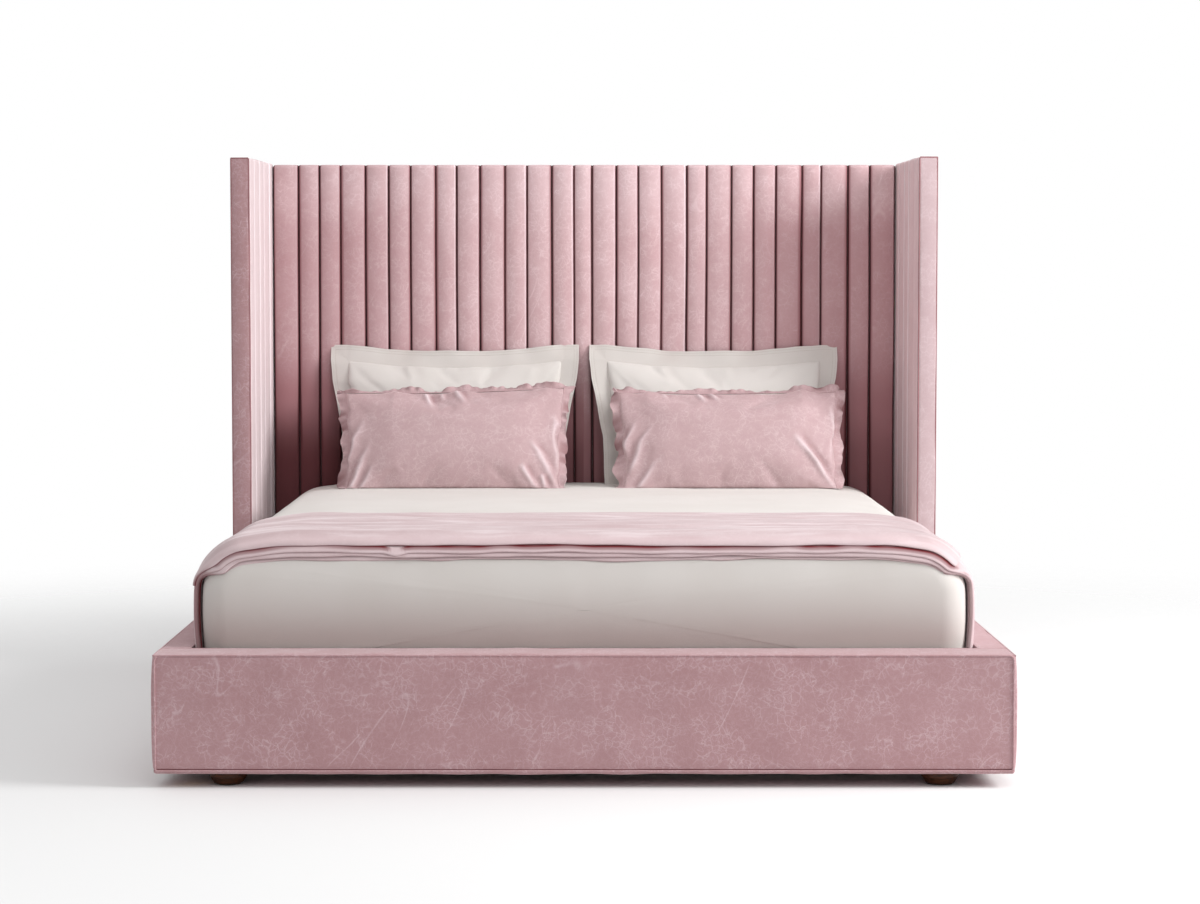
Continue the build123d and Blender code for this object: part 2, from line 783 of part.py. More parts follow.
def slatted_base():
    """Two banks of sprung slats in plastic sleeves, on the ledgers and on the centre beam."""
    slats, side_holders, centre_holders = [], [], []
    for middle in slat_places():
        slats.append(slat(middle))
        side_holders.append(holder(rail_inner - holder_reach - holder_wall, rail_inner, middle, True, False))
        half = min(holder_reach, beam_width / 2)
        divided = holder(-half, half, middle, True, True)
        rib_y = slat_width / 2 + holder_slack
        rib = block(-holder_wall / 2, holder_wall / 2, middle - rib_y, middle + rib_y,
                    ledger_top, slat_end_bottom + slat_thickness)
        centre_holders.append(divided + rib)
    ledger = block(rail_inner - ledger_width, rail_inner, footboard_back, pad_back,
                   ledger_top - ledger_height, ledger_top)
    ledger = cut_all(ledger, ledger_screws(bolt_clearance))
    ledgers = both_sides(ledger)
    banks = both_sides(Compound(slats))
    sleeves = both_sides(Compound(side_holders))
    return {
        "ledger_left": ledgers["left"], "ledger_right": ledgers["right"],
        "slats_left": banks["left"], "slats_right": banks["right"],
        "slat_holders_left": sleeves["left"], "slat_holders_right": sleeves["right"],
        "slat_holders_centre": Compound(centre_holders),
    }


# Feet

def turned_foot():
    """A low round foot on its glide's top at z = 0: a straight collar above a side that tapers to the sole."""
    tall = foot_height - foot_glide_height
    profile = [
        (0, 0), (foot_sole_diameter / 2, 0), (foot_diameter / 2, tall - foot_collar_height),
        (foot_diameter / 2, tall), (0, tall),
    ]
    return revolve(Plane.XZ * make_face(Polyline(*profile, close=True)), Axis.Z)


def feet():
    """Four turned feet with their studs and felt glides."""
    made = {}
    glides = []
    for name, (x, y) in foot_places().items():
        foot = Pos(x, y, foot_glide_height) * turned_foot()
        made["foot_" + name] = cut_all(foot, foot_studs(bolt_clearance))
        glides.append(rod((x, y, 0), (0, 0, 1), foot_glide_diameter, foot_glide_height))
    made["foot_studs"] = Compound(foot_studs())
    made["foot_glides"] = Compound(glides)
    return made


def metalwork():
    """Brackets, beam, saddles and all the bolts and screws."""
    made = {}
    for end in ("foot", "head"):
        pair = both_sides(corner_bracket(end))
        made["corner_bracket_" + end + "_left"] = pair["left"]
        made["corner_bracket_" + end + "_right"] = pair["right"]
    made["corner_bolts"] = Compound(mirrored_list(corner_bolts()))
    made["ledger_screws"] = Compound(mirrored_list(ledger_screws()))
    made["wing_bolts"] = Compound(mirrored_list(wing_bolts()))
    made["centre_beam"] = centre_beam()
    made["beam_saddle_foot"] = saddle(footboard_back, 1)
    made["beam_saddle_head"] = saddle(lower_pad_face, -1)
    made["saddle_screws"] = Compound(saddle_screws())
    return made


def with_screw_holes(parts):
    """The pieces behind the saddles, with the saddle screws' holes."""
    for name in ("footboard_cover", "footboard_carcass", "headboard_lower_pad", "headboard_front_board"):
        parts[name] = cut_all(parts[name], saddle_screws(bolt_clearance))
    return parts


def main():
    parts = {}
    for made in (footboard(), side_rails(), headboard(), wings(), metalwork(), centre_legs(),
                 slatted_base(), feet(), mattress(), throw(), pillows()):
        parts.update(made)
    parts = with_screw_holes(parts)
    os.makedirs("parts", exist_ok=True)
    for name, shape in parts.items():
        export_step(shape, "parts/" + name + ".step")


main()
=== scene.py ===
import json
import math
from itertools import product
from types import SimpleNamespace

import bmesh
import bpy
import numpy as np
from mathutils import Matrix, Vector


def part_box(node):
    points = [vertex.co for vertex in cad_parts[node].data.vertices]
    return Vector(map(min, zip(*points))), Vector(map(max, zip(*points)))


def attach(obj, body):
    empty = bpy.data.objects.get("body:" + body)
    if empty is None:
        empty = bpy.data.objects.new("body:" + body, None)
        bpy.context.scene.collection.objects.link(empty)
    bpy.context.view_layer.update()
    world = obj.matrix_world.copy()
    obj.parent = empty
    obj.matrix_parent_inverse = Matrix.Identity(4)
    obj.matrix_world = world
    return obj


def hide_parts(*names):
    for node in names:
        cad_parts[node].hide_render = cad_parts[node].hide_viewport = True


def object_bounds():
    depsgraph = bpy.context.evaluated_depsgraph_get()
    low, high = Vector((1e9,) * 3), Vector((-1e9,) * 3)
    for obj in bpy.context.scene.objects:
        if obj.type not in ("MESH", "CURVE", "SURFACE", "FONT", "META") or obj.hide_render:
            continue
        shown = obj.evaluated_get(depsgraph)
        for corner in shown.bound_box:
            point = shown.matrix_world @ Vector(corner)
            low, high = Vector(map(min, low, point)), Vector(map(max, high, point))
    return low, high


# Upholstered bed: crushed velvet over a channelled headboard, two wings, side rails and a footboard,
# with a mattress in a fitted sheet, a folded throw and four pillows. Metres, in the frame's own axes.

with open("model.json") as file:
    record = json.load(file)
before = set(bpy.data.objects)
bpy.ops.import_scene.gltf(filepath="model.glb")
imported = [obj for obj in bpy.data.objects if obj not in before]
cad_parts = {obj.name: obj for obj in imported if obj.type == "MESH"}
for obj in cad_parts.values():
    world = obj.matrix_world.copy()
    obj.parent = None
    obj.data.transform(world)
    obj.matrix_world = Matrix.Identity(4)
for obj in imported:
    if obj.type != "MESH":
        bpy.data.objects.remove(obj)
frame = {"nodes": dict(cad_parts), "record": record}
cad_low, cad_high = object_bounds()
scene = bpy.context.scene

# Boxes that the frame gives
foot_low, foot_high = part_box("footboard_cover")
rail_low, rail_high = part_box("side_rail_cover_right")
pad_low, pad_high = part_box("headboard_channel_pad")
lower_low, lower_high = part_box("headboard_lower_pad")
back_low, back_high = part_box("headboard_back_cover")
wing_low, wing_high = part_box("wing_cover_right")
sheet_low, sheet_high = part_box("fitted_sheet")
_, throw_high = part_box("throw")

SIDES = {"left": -1, "right": 1}


# Shader maths

class Wire:
    """A socket of a material. Operators on it add Math nodes, so shader maths reads as arithmetic."""

    def __init__(self, tree, socket=None):
        self.tree = tree
        self.socket = socket

    def node(self, kind, settings=(), sockets=(), output=0):
        """Adds a node: its settings first, then the values or links of its sockets. Gives one output."""
        made = self.tree.nodes.new("ShaderNode" + kind)
        for name, value in dict(settings).items():
            setattr(made, name, value)
        for name, value in dict(sockets).items():
            if isinstance(value, Wire):
                self.tree.links.new(value.socket, made.inputs[name])
            else:
                made.inputs[name].default_value = value
        return Wire(self.tree, made.outputs[output])

    def math(self, operation, *values):
        return self.node("Math", {"operation": operation}, enumerate(values))

    def __add__(self, other):
        return self.math("ADD", self, other)

    def __radd__(self, other):
        return self.math("ADD", other, self)

    def __sub__(self, other):
        return self.math("SUBTRACT", self, other)

    def __rsub__(self, other):
        return self.math("SUBTRACT", other, self)

    def __mul__(self, other):
        return self.math("MULTIPLY", self, other)

    def __truediv__(self, other):
        return self.math("DIVIDE", self, other)

    def __abs__(self):
        return self.math("ABSOLUTE", self)

    def between(self, low, high):
        """How far this value is from low to high, eased and kept in 0 to 1."""
        settings = {"interpolation_type": "SMOOTHSTEP"}
        return self.node("MapRange", settings, {"Value": self, "From Min": low, "From Max": high})

    def mix(self, first, second):
        """The first colour where this value is 0, the second where it is 1."""
        return self.node("Mix", {"data_type": "RGBA"}, {0: self, 6: first, 7: second}, 2)

    def vector(self, operation, other):
        return self.node("VectorMath", {"operation": operation}, {0: self, 1: other})

    def stretched(self, scale):
        """These coordinates, multiplied along each axis."""
        return self.vector("MULTIPLY", scale)

    def shaken(self, size, reach):
        """These coordinates, pushed about by a noise of this size."""
        push = self.noise(size, detail=2, output=1).vector("SUBTRACT", (0.5, 0.5, 0.5))
        return self.vector("ADD", push.stretched((reach, reach, reach)))

    def noise(self, size, detail=3, roughness=0.5, output=0):
        """Noise with features about this many metres across, at these coordinates."""
        sockets = {"Vector": self, "Scale": 1 / size, "Detail": detail, "Roughness": roughness}
        return self.node("TexNoise", {}, sockets, output)

    def bump(self, height, strength):
        """A normal bumped by this height in metres."""
        return self.node("Bump", {}, {"Height": height, "Distance": 1.0, "Strength": strength})

    def marks(self, label):
        """The shade marks of this name on the mesh's points."""
        return self.node("Attribute", {"attribute_name": label}, {}, 2)


def srgb(colour):
    """A colour written in the usual 0 to 255, as the shader wants it."""
    shares = [c / 255 for c in colour]
    return (*[s / 12.92 if s < 0.04045 else ((s + 0.055) / 1.055) ** 2.4 for s in shares], 1.0)


def finish_of(name, plain):
    """A new material whose surface has these plain values. Gives it, its surface and its coordinates.

    The coordinates are the object's own, in metres, so the pattern rides with the piece.
    """
    material = bpy.data.materials.new(name)
    material.use_nodes = True
    surface = material.node_tree.nodes["Principled BSDF"]
    for socket, value in plain.items():
        surface.inputs[socket].default_value = value
    return material, surface, Wire(material.node_tree).node("TexCoord", output="Object")


def join(surface, name, wire):
    wire.tree.links.new(wire.socket, surface.inputs[name])


# Finishes

SHEEN_TINT = (250, 240, 242)


def crushed_velvet(name, deep, body, pale, vein=1.0, sheen=0.6, sunk=None, painted_highlight=None, streaks=0.0):
    """Velvet whose pile is pressed here and there into pale, thread-thin curls and soft clouds.

    Shade is painted by the mesh's own "sunk" marks: the colour deepens first to a redder tint of the velvet
    and then to sunk, as painted shade in seams, grooves and hollows. Highlights are painted by its
    "painted_highlight" marks, which pale it to painted_highlight. streaks is how strongly pale and dark
    bands paint the light and shade of creases.
    """
    material, surface, place = finish_of(name, {
        "Roughness": 0.85, "Specular IOR Level": 0.15, "Sheen Weight": sheen, "Sheen Roughness": 0.36,
        "Sheen Tint": srgb(SHEEN_TINT)})
    deep, body, pale = srgb(deep), srgb(body), srgb(pale)
    curled = place.shaken(0.06, 0.05).shaken(0.017, 0.012)

    def threads(coordinates, size, width, detail=4):
        wave = coordinates.noise(size, detail=detail, roughness=0.6)
        return 1 - (abs(wave - 0.5) / width).between(0.0, 1.0)

    cloud = place.noise(0.17, roughness=0.6).between(0.2, 0.8)
    patch = place.noise(0.05, roughness=0.6).between(0.4, 0.6)
    fine = threads(curled, 0.019, 0.022)
    coarse = threads(curled, 0.042, 0.011)
    cells = curled.node("TexVoronoi", {"feature": "DISTANCE_TO_EDGE"}, {"Vector": curled, "Scale": 52.0})
    creases = 1 - cells.between(0.0, 0.09)
    turned = place.node("VectorRotate", {"rotation_type": "AXIS_ANGLE"},
                        {"Vector": place, "Axis": (0.1, 1.0, 0.2), "Angle": 1.1})
    scratch = threads(turned.stretched((0.09, 1.0, 1.0)), 0.16, 0.004, detail=1)
    scratch = scratch * place.noise(0.09, detail=1).between(0.5, 0.62)
    mottle = place.shaken(0.02, 0.014).noise(0.014, roughness=0.7).between(0.45, 0.72)
    veins = (fine * 0.65 + creases * 0.6) * (0.25 + patch * 0.75) + coarse * 0.2 + scratch * 0.7
    veins = veins + mottle * 0.2
    pile = place.noise(0.0016, detail=2)
    shade = (0.3 + cloud * 0.5 + patch * 0.2).mix(deep, body)
    shade = veins.math("MINIMUM", veins * (0.5 * vein), 0.75).mix(shade, pale)
    shade = (pile.between(0.3, 0.8) * 0.12).mix(shade, pale)
    # Painted light and shade of soft creases, as pale and dark bands
    if streaks:
        drawn = place.shaken(0.2, 0.03).stretched((0.14, 1.0, 0.14))
        shade = (drawn.noise(0.04, detail=4).between(0.45, 0.7) * streaks).mix(shade, pale)
        shade = (drawn.noise(0.06, detail=4).between(0.5, 0.7) * streaks).mix(shade, deep)
    # Painted highlights where the marks say
    if painted_highlight:
        shade = place.marks("painted_highlight").mix(shade, srgb(painted_highlight))
    # Painted shade: first a redder tint of the velvet, then the sunk colour
    if sunk:
        depth = place.marks("sunk")
        painted_shade_tint = tuple(c * c for c in body[:3]) + (1.0,)
        shade = depth.between(0.0, 0.5).mix(shade, painted_shade_tint)
        shade = depth.between(0.5, 1.0).mix(shade, srgb(sunk))
    join(surface, "Base Color", shade)
    join(surface, "Normal", place.bump(pile * 0.0005 + veins * 0.0003 + cloud * 0.001, 0.6))
    return material


THREAD_SPACING = 0.0011


def cotton(name, shade, worn, sunk):
    """A smooth plain weave, faintly cloudy where it has been pressed. Its "sunk" marks paint shade."""
    material, surface, place = finish_of(name, {
        "Roughness": 0.85, "Specular IOR Level": 0.2, "Sheen Weight": 0.12})
    cloud = place.noise(0.22).between(0.3, 0.75)
    x, y, z = [place.node("SeparateXYZ", {}, {"Vector": place}, axis) for axis in range(3)]
    across, along = [c.math("SINE", c * (2 * math.pi / THREAD_SPACING)) for c in (x, y + z)]
    slub = place.stretched((1.0, 8.0, 8.0)).noise(0.02, detail=2)
    colour = (cloud * 0.6).mix(srgb(shade), srgb(worn))
    # Painted shade where the "sunk" marks say
    join(surface, "Base Color", place.marks("sunk").mix(colour, srgb(sunk)))
    join(surface, "Normal", place.bump(across * along * 0.00005 + slub * 0.0002, 0.5))
    return material


def wood(name, dark, light, gloss, scale=1.0, coat=0.0):
    """Timber with long grain along X, fine pores and slow changes of colour."""
    material, surface, place = finish_of(name, {
        "Specular IOR Level": 0.25, "Coat Weight": coat, "Coat Roughness": 0.25})
    place = place.shaken(0.12, 0.01)
    rings = place.stretched((0.6, 7.0, 7.0)).noise(0.09 * scale, detail=5, roughness=0.6)
    pores = place.stretched((0.15, 6.0, 6.0)).noise(0.006 * scale, detail=2)
    tone = rings.between(0.3, 0.7) * 0.75 + pores * 0.15 + place.noise(0.3, detail=1) * 0.1
    join(surface, "Base Color", tone.mix(srgb(dark), srgb(light)))
    join(surface, "Roughness", gloss + (pores - 0.5) * 0.25)
    join(surface, "Normal", place.bump(pores * 0.0003 + rings * 0.0002, 0.4))
    return material


def metal(name, shade, worn, roughness):
    """Plated or painted steel with fine scuffs."""
    material, surface, place = finish_of(name, {"Metallic": 0.9})
    scuffs = place.stretched((1.0, 5.0, 1.0)).noise(0.01, detail=4)
    stain = place.noise(0.05).between(0.35, 0.7) * 0.5
    join(surface, "Base Color", stain.mix(srgb(shade), srgb(worn)))
    join(surface, "Roughness", roughness + (scuffs - 0.5) * 0.3)
    join(surface, "Normal", place.bump(scuffs * 0.0001, 0.4))
    return material


def moulded(name, shade, roughness, grain):
    """Moulded plastic, felt, foam or thread: one colour with a grain of this size."""
    material, surface, place = finish_of(name, {"Roughness": roughness, "Specular IOR Level": 0.35})
    spots = place.noise(grain)
    shade = srgb(shade)
    pale = tuple(min(1.0, c * 1.35 + 0.01) for c in shade[:3]) + (1.0,)
    join(surface, "Base Color", (spots.between(0.35, 0.7) * 0.5).mix(shade, pale))
    join(surface, "Normal", place.bump(spots * (grain * 0.25), 0.4))
    return material


# The colours of painted shade in seams and grooves and of painted highlights on edges, ridges and folds
SEAM_SHADE = (76, 22, 26)
PAINTED_HIGHLIGHT_PINK = (244, 232, 236)
# The velvet's sunk colour is the painted shade of its seams
VELVET = crushed_velvet("crushed_velvet", (168, 128, 130), (181, 144, 147), (206, 179, 185), 1.35,
                        sunk=(112, 62, 64))
# A darker copy of the velvet for the wings' piping: painted shade beside the piping
PAINTED_SHADE_PIPING_VELVET = crushed_velvet("piping_velvet_painted_shade", (146, 102, 105), (160, 118, 121), (184, 150, 153), 0.4, 0.3)
# A paler, lit copy of the velvet for the headboard's channels: painted light
PAINTED_LIT_FLUTE_VELVET = crushed_velvet("flute_velvet_painted_lit", (187, 149, 152), (203, 173, 176), (226, 205, 208), 1.0, 0.2,
                              SEAM_SHADE, PAINTED_HIGHLIGHT_PINK)
# Paler, lit copies of the velvet for the wings' inner pads, the left one paler still: painted light
PAINTED_LIT_WING_VELVET = {
    "left": crushed_velvet("wing_velvet_left", (216, 196, 198), (222, 205, 207), (234, 224, 226), 0.15, 0.6,
                           SEAM_SHADE, PAINTED_HIGHLIGHT_PINK),
    "right": crushed_velvet("wing_velvet_right", (217, 182, 185), (228, 197, 200), (239, 219, 222), 0.15,
                            0.6, SEAM_SHADE, PAINTED_HIGHLIGHT_PINK),
}
# The right wing's cover is a paler, lit copy of the velvet: painted light
WING_COVER = {
    "left": VELVET,
    "right": crushed_velvet("wing_cover_velvet_painted_lit", (179, 153, 156), (193, 170, 173), (213, 198, 201), 0.8),
}
# The pink pillows' velvet takes painted shade by its seam and in hollows and painted highlights on ridges
PALE_VELVET = crushed_velvet("pale_velvet", (174, 144, 146), (188, 160, 162), (216, 195, 199), 0.8,
                             sunk=SEAM_SHADE, painted_highlight=PAINTED_HIGHLIGHT_PINK)
# The throw's last colours are painted shade between its layers and a painted highlight on its folds; its
# streaks paint the light and shade of creases
BLANKET = crushed_velvet("throw_velvet", (186, 160, 162), (205, 184, 186), (226, 212, 214), 0.4, 0.5,
                         (112, 22, 30), (226, 202, 205), 0.7)
# The last colour of each is painted shade
PERCALE = cotton("percale", (218, 213, 209), (211, 205, 200), (196, 188, 183))
PILLOW_COTTON = cotton("pillow_cotton", (209, 204, 200), (202, 197, 192), (158, 138, 132))
THREAD = moulded("thread", (178, 168, 162), 0.7, 0.0012)

SLOT_FINISHES = {
    "velvet": VELVET, "cotton": PERCALE, "satin": PALE_VELVET, "blanket": BLANKET,
    "timber": wood("pine", (176, 132, 86), (218, 182, 132), 0.6),
    "birch": wood("birch", (206, 172, 126), (232, 208, 168), 0.4, coat=0.3),
    "foot_wood": wood("turned_foot_wood", (28, 10, 2), (82, 40, 9), 0.5, 0.4, coat=0.04),
    "bracket_steel": metal("painted_steel", (60, 60, 62), (84, 84, 86), 0.45),
    "bolt_steel": metal("zinc_steel", (176, 176, 178), (206, 206, 208), 0.32),
    "black_plastic": moulded("black_plastic", (34, 34, 36), 0.5, 0.0015),
    "felt": moulded("felt", (70, 62, 56), 0.95, 0.0012),
    "foam": moulded("foam", (232, 222, 190), 0.9, 0.004),
    "spring_pocket": moulded("pocket_cloth", (214, 214, 208), 0.9, 0.003),
}
SOFT_EDGE = {"timber": 0.0015, "birch": 0.002, "bracket_steel": 0.0008, "foot_wood": 0.0015}


def dress_frame():
    """Every piece of the frame gets its finish, and timber and steel get a slight edge."""
    for part in frame["record"]["subparts"]:
        piece, slot = frame["nodes"][part["node"]], part["material_slot"]
        piece.data.materials.clear()
        piece.data.materials.append(SLOT_FINISHES[slot])
        if slot in SOFT_EDGE:
            edge = piece.modifiers.new("edge", "BEVEL")
            edge.width = SOFT_EDGE[slot]
            edge.segments = 2
            edge.limit_method = "ANGLE"


# Mesh making. A shape is its points, its faces, and its marks of painted shade and painted highlights by
# name, each from 0 to 1 at a point.

def together(x, y, z):
    """Points from their coordinates, each an array or one number."""
    return np.stack(np.broadcast_arrays(x, y, z), axis=-1)


def wobble(points, size, seed, stretch=(1.0, 1.0, 1.0)):
    """Smooth uneven waves about this far across, mostly between -1 and 1, the same on every run."""
    draw = np.random.default_rng(seed)
    waves = unit(draw.normal(size=(14, 3)))
    waves *= (2 * math.pi / size) * draw.uniform(0.55, 1.5, 14)[:, None]
    phases = draw.uniform(0, 2 * math.pi, 14)
    flat = points.reshape(-1, 3) * np.array(stretch)
    return (np.sin(flat @ waves.T + phases).sum(-1) / math.sqrt(14)).reshape(points.shape[:-1])


def smooth(value, low, high):
    """0 below low, 1 above high, eased between them."""
    share = np.clip((value - low) / (high - low), 0, 1)
    return share * share * (3 - 2 * share)


def bell(value, middle, width):
    """1 at the middle, falling away on both sides over about this width."""
    return np.exp(-((value - middle) / width) ** 2)


def travelled(line):
    """How far along a line each of its points lies."""
    return np.concatenate([[0], np.cumsum(np.linalg.norm(np.diff(line, axis=0), axis=1))])


def points_at(line, lengths, places):
    """Points at these places along a line, whose own points lie these lengths along it."""
    return np.stack([np.interp(places, lengths, column) for column in line.T], axis=-1)


def unit(vectors):
    """Vectors made one long."""
    return vectors / np.linalg.norm(vectors, axis=-1, keepdims=True)


def outward(line):
    """Unit normals of a line of 2-D points, to its left."""
    along = np.gradient(line, axis=0)
    return unit(np.stack([-along[:, 1], along[:, 0]], axis=1))


def grid_faces(rows, columns, around=False, first=0):
    """Quads over points kept row by row. With around, each row's last point joins its first."""
    faces = []
    for r, c in product(range(rows - 1), range(columns if around else columns - 1)):
        here, after = first + r * columns, (c + 1) % columns
        faces.append((here + c, here + after, here + columns + after, here + columns + c))
    return faces


def row_face(row, columns):
    """One face over a whole row of points."""
    return tuple(range(row * columns, (row + 1) * columns))


def sleeve_faces(rows, columns):
    """Faces of a sleeve made of rings of points, closed at both ends."""
    ends = [row_face(0, columns)[::-1], row_face(rows - 1, columns)]
    return grid_faces(rows, columns, around=True) + ends


def add_object(name, data):
    """A new object in the scene."""
    made = bpy.data.objects.new(name, data)
    scene.collection.objects.link(made)
    return made


def evaluated(piece):
    """The piece with its modifiers worked out."""
    return piece.evaluated_get(bpy.context.evaluated_depsgraph_get())


def new_mesh(name, points, faces):
    mesh = bpy.data.meshes.new(name)
    mesh.from_pydata([tuple(p) for p in points], [], faces)
    return mesh


def mark(mesh, label, values):
    """Writes marks for painted shade and painted highlights on a mesh's points."""
    layer = mesh.attributes.new(label, "FLOAT", "POINT")
    layer.data.foreach_set("value", np.asarray(values, np.float32))


def make_piece(name, shape, material, replaced=(), body="bed_frame", sharp=50.0):
    """A mesh piece that rides on its body and stands for the frame's nodes.

    Edges that fold by more than the sharp angle stay crisp.
    """
    points, faces, marks = shape
    mesh = new_mesh(name, points, faces)
    for label, values in marks.items():
        mark(mesh, label, values)
    shaper = bmesh.new()
    shaper.from_mesh(mesh)
    bmesh.ops.remove_doubles(shaper, verts=shaper.verts, dist=1e-6)
    loose = [vert for vert in shaper.verts if not vert.link_faces]
    bmesh.ops.delete(shaper, geom=loose, context="VERTS")
    bmesh.ops.recalc_face_normals(shaper, faces=shaper.faces)
    for edge in shaper.edges:
        edge.smooth = len(edge.link_faces) == 2 and edge.calc_face_angle(0) < math.radians(sharp)
    for face in shaper.faces:
        face.smooth = True
    shaper.to_mesh(mesh)
    shaper.free()
    mesh.materials.append(material)
    piece = add_object(name, mesh)
    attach(piece, body)
    if replaced:
        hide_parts(*replaced)
    return piece


PIPING = 0.0024
PIPING_INSET = 0.0018


def piping(name, lines, material=VELVET, closed=False):
    """Piping along one or more lines of points."""
    curve = bpy.data.curves.new(name, "CURVE")
    curve.dimensions = "3D"
    curve.bevel_depth = PIPING
    curve.bevel_resolution = 2
    curve.use_fill_caps = True
    for line in lines:
        spline = curve.splines.new("POLY")
        spline.points.add(len(line) - 1)
        for point, place in zip(spline.points, line):
            point.co = (*place, 1.0)
        spline.use_cyclic_u = closed
    guide = add_object(name + "_line", curve)
    mesh = bpy.data.meshes.new_from_object(evaluated(guide))
    bpy.data.objects.remove(guide)
    mesh.materials.clear()
    mesh.materials.append(material)
    for face in mesh.polygons:
        face.use_smooth = True
    piece = add_object(name, mesh)
    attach(piece, "bed_frame")


def rounded_line(corners, radii, runs, arc_steps):
    """Points along a line whose corners are arcs. runs says how many steps each straight run has."""
    corners = [np.array(c, float) for c in corners]
    starts, ends, arcs = [corners[0]], [], []
    for before, here, after, radius in zip(corners, corners[1:], corners[2:], radii):
        back, ahead = unit(before - here), unit(after - here)
        half = math.acos(np.clip(back @ ahead, -1, 1)) / 2
        reach = radius / math.tan(half)
        centre = here + unit(back + ahead) * radius / math.sin(half)
        first, last = here + back * reach - centre, here + ahead * reach - centre
        turn = math.pi - 2 * half
        shares = [step / arc_steps for step in range(1, arc_steps)]
        arcs.append([centre + math.sin((1 - share) * turn) / math.sin(turn) * first
                     + math.sin(share * turn) / math.sin(turn) * last for share in shares])
        ends.append(centre + first)
        starts.append(centre + last)
    ends.append(corners[-1])
    line = []
    for start, end, steps, arc in zip(starts, ends, runs, arcs + [[]]):
        line += [start + (end - start) * step / steps for step in range(steps + 1)] + arc
    return np.array(line)


# Padded boxes

SEAM_DEPTH = 0.0015
SEAM_SHADE_WIDTH = 0.0018
SEAM_HOLLOW = 0.0035
UNEVENNESS = 0.0008
# Each axis with the two that follow it
TURNS = ((0, 1, 2), (1, 2, 0), (2, 0, 1))


def stations(low, high, radius, step, seams):
    """Places along one side of a padded box, closer together in its rounded edges and at its seams."""
    edge = np.linspace(0, radius, 5)
    middle = np.linspace(low + radius, high - radius, max(2, round((high - low) / step)))
    near = [seam + d for seam in seams for d in np.linspace(-0.005, 0.005, 7)]
    return np.unique(np.round(np.concatenate([low + edge, middle, high - edge, near]), 6))


def padded_box(low, high, radius, crowns, seed, step=0.02, seams=()):
    """The shape of an upholstered box with rounded edges and crowned sides.

    crowns are how far the sides across X, Y and Z swell. seams are levels at which the cover is drawn in
    and along which its "sunk" marks paint shade.
    """
    axes = [stations(low[a], high[a], radius, step, seams if a == 2 else ()) for a in range(3)]
    sizes = [len(a) for a in axes]
    index, points, faces = {}, [], []

    def corner(place):
        if place not in index:
            index[place] = len(points)
            points.append([axes[a][place[a]] for a in range(3)])
        return index[place]

    for a, b, c in TURNS:
        for end, i, j in product((0, sizes[a] - 1), range(sizes[b] - 1), range(sizes[c] - 1)):
            quad = []
            for di, dj in ((0, 0), (1, 0), (1, 1), (0, 1)):
                place = [0, 0, 0]
                place[a], place[b], place[c] = end, i + di, j + dj
                quad.append(corner(tuple(place)))
            faces.append(tuple(quad))
    low, high = np.array(low), np.array(high)
    core = np.clip(points, low + radius, high - radius)
    normals = unit(np.array(points) - core)
    points = core + normals * radius
    share = np.clip((points - low) / (high - low) * 2 - 1, -1, 1)
    full = 1 - np.abs(share) ** 4
    swell, sunk = np.zeros(len(points)), np.zeros(len(points))
    for a, b, c in TURNS:
        swell += normals[:, a] ** 2 * crowns[a] * full[:, b] * full[:, c]
    upright = 1 - np.abs(normals[:, 2])
    # Painted shade along each seam
    for seam in seams:
        swell -= SEAM_DEPTH * bell(points[:, 2], seam, SEAM_HOLLOW) * upright
        sunk = np.maximum(sunk, bell(points[:, 2], seam, SEAM_SHADE_WIDTH) * upright)
    uneven = UNEVENNESS * wobble(points, 0.16, seed)
    for a, b, c in TURNS:
        flat = full[:, b] * full[:, c] * normals[:, a] ** 2
        swell += uneven * np.minimum(1, 3 * flat) * (flat > 0.02)
    return points + normals * swell[:, None], faces, {"sunk": sunk}


def edge_lines(low, high, radius, edges):
    """Lines along a box's named edges, each an axis and the ends of the other two, for its piping."""
    lines = []
    low, high = np.array(low) + PIPING_INSET, np.array(high) - PIPING_INSET
    for axis, first, second in edges:
        start, end = np.zeros(3), np.zeros(3)
        start[axis], end[axis] = low[axis] + radius, high[axis] - radius
        for other, side in zip(TURNS[axis][1:], (first, second)):
            start[other] = end[other] = high[other] if side else low[other]
        lines.append(np.array([start + (end - start) * s for s in np.linspace(0, 1, 40)]))
    return lines


EDGE_ROUNDING = 0.007
HEM_HEIGHT = 0.0085
PANEL_EDGE = 0.0045
END_BOW = 0.0048


def footboard():
    """The footboard's padded cover with its hem and bowed ends, and the piping round its front."""
    hem = foot_low.z + HEM_HEIGHT
    shape = padded_box(foot_low, foot_high, EDGE_ROUNDING, (0.001, 0.004, 0.002), 3, seams=(hem + 0.001,))
    points = shape[0]
    end = smooth(np.abs(points[:, 0]), foot_high.x - 0.014, foot_high.x - 0.004) * np.sign(points[:, 0])
    height = np.clip((points[:, 2] - foot_low.z) / (foot_high.z - foot_low.z), 0, 1)
    points[:, 0] += END_BOW * end * (1 - np.abs(2 * height - 1) ** 3)
    make_piece("footboard_velvet", shape, VELVET, ["footboard_cover"])
    left, right = foot_low.x + PANEL_EDGE, foot_high.x - PANEL_EDGE
    face, top, base = foot_low.y - 0.0012, foot_high.z - 0.0015, hem - 0.001
    panel = rounded_line([(0, base), (right, base), (right, top), (left, top), (left, base), (-0.001, base)],
                         [0.006, 0.012, 0.012, 0.006], (20, 16, 60, 16, 20), 6)
    ring = [(x, face + 0.0022 * (z > top - 0.002), z) for x, z in panel]
    piping("footboard_piping", [ring], closed=True)
    piping("footboard_top_piping", edge_lines(foot_low, foot_high, 0.001, [(0, 1, 1), (1, 1, 0), (1, 1, 1)]))


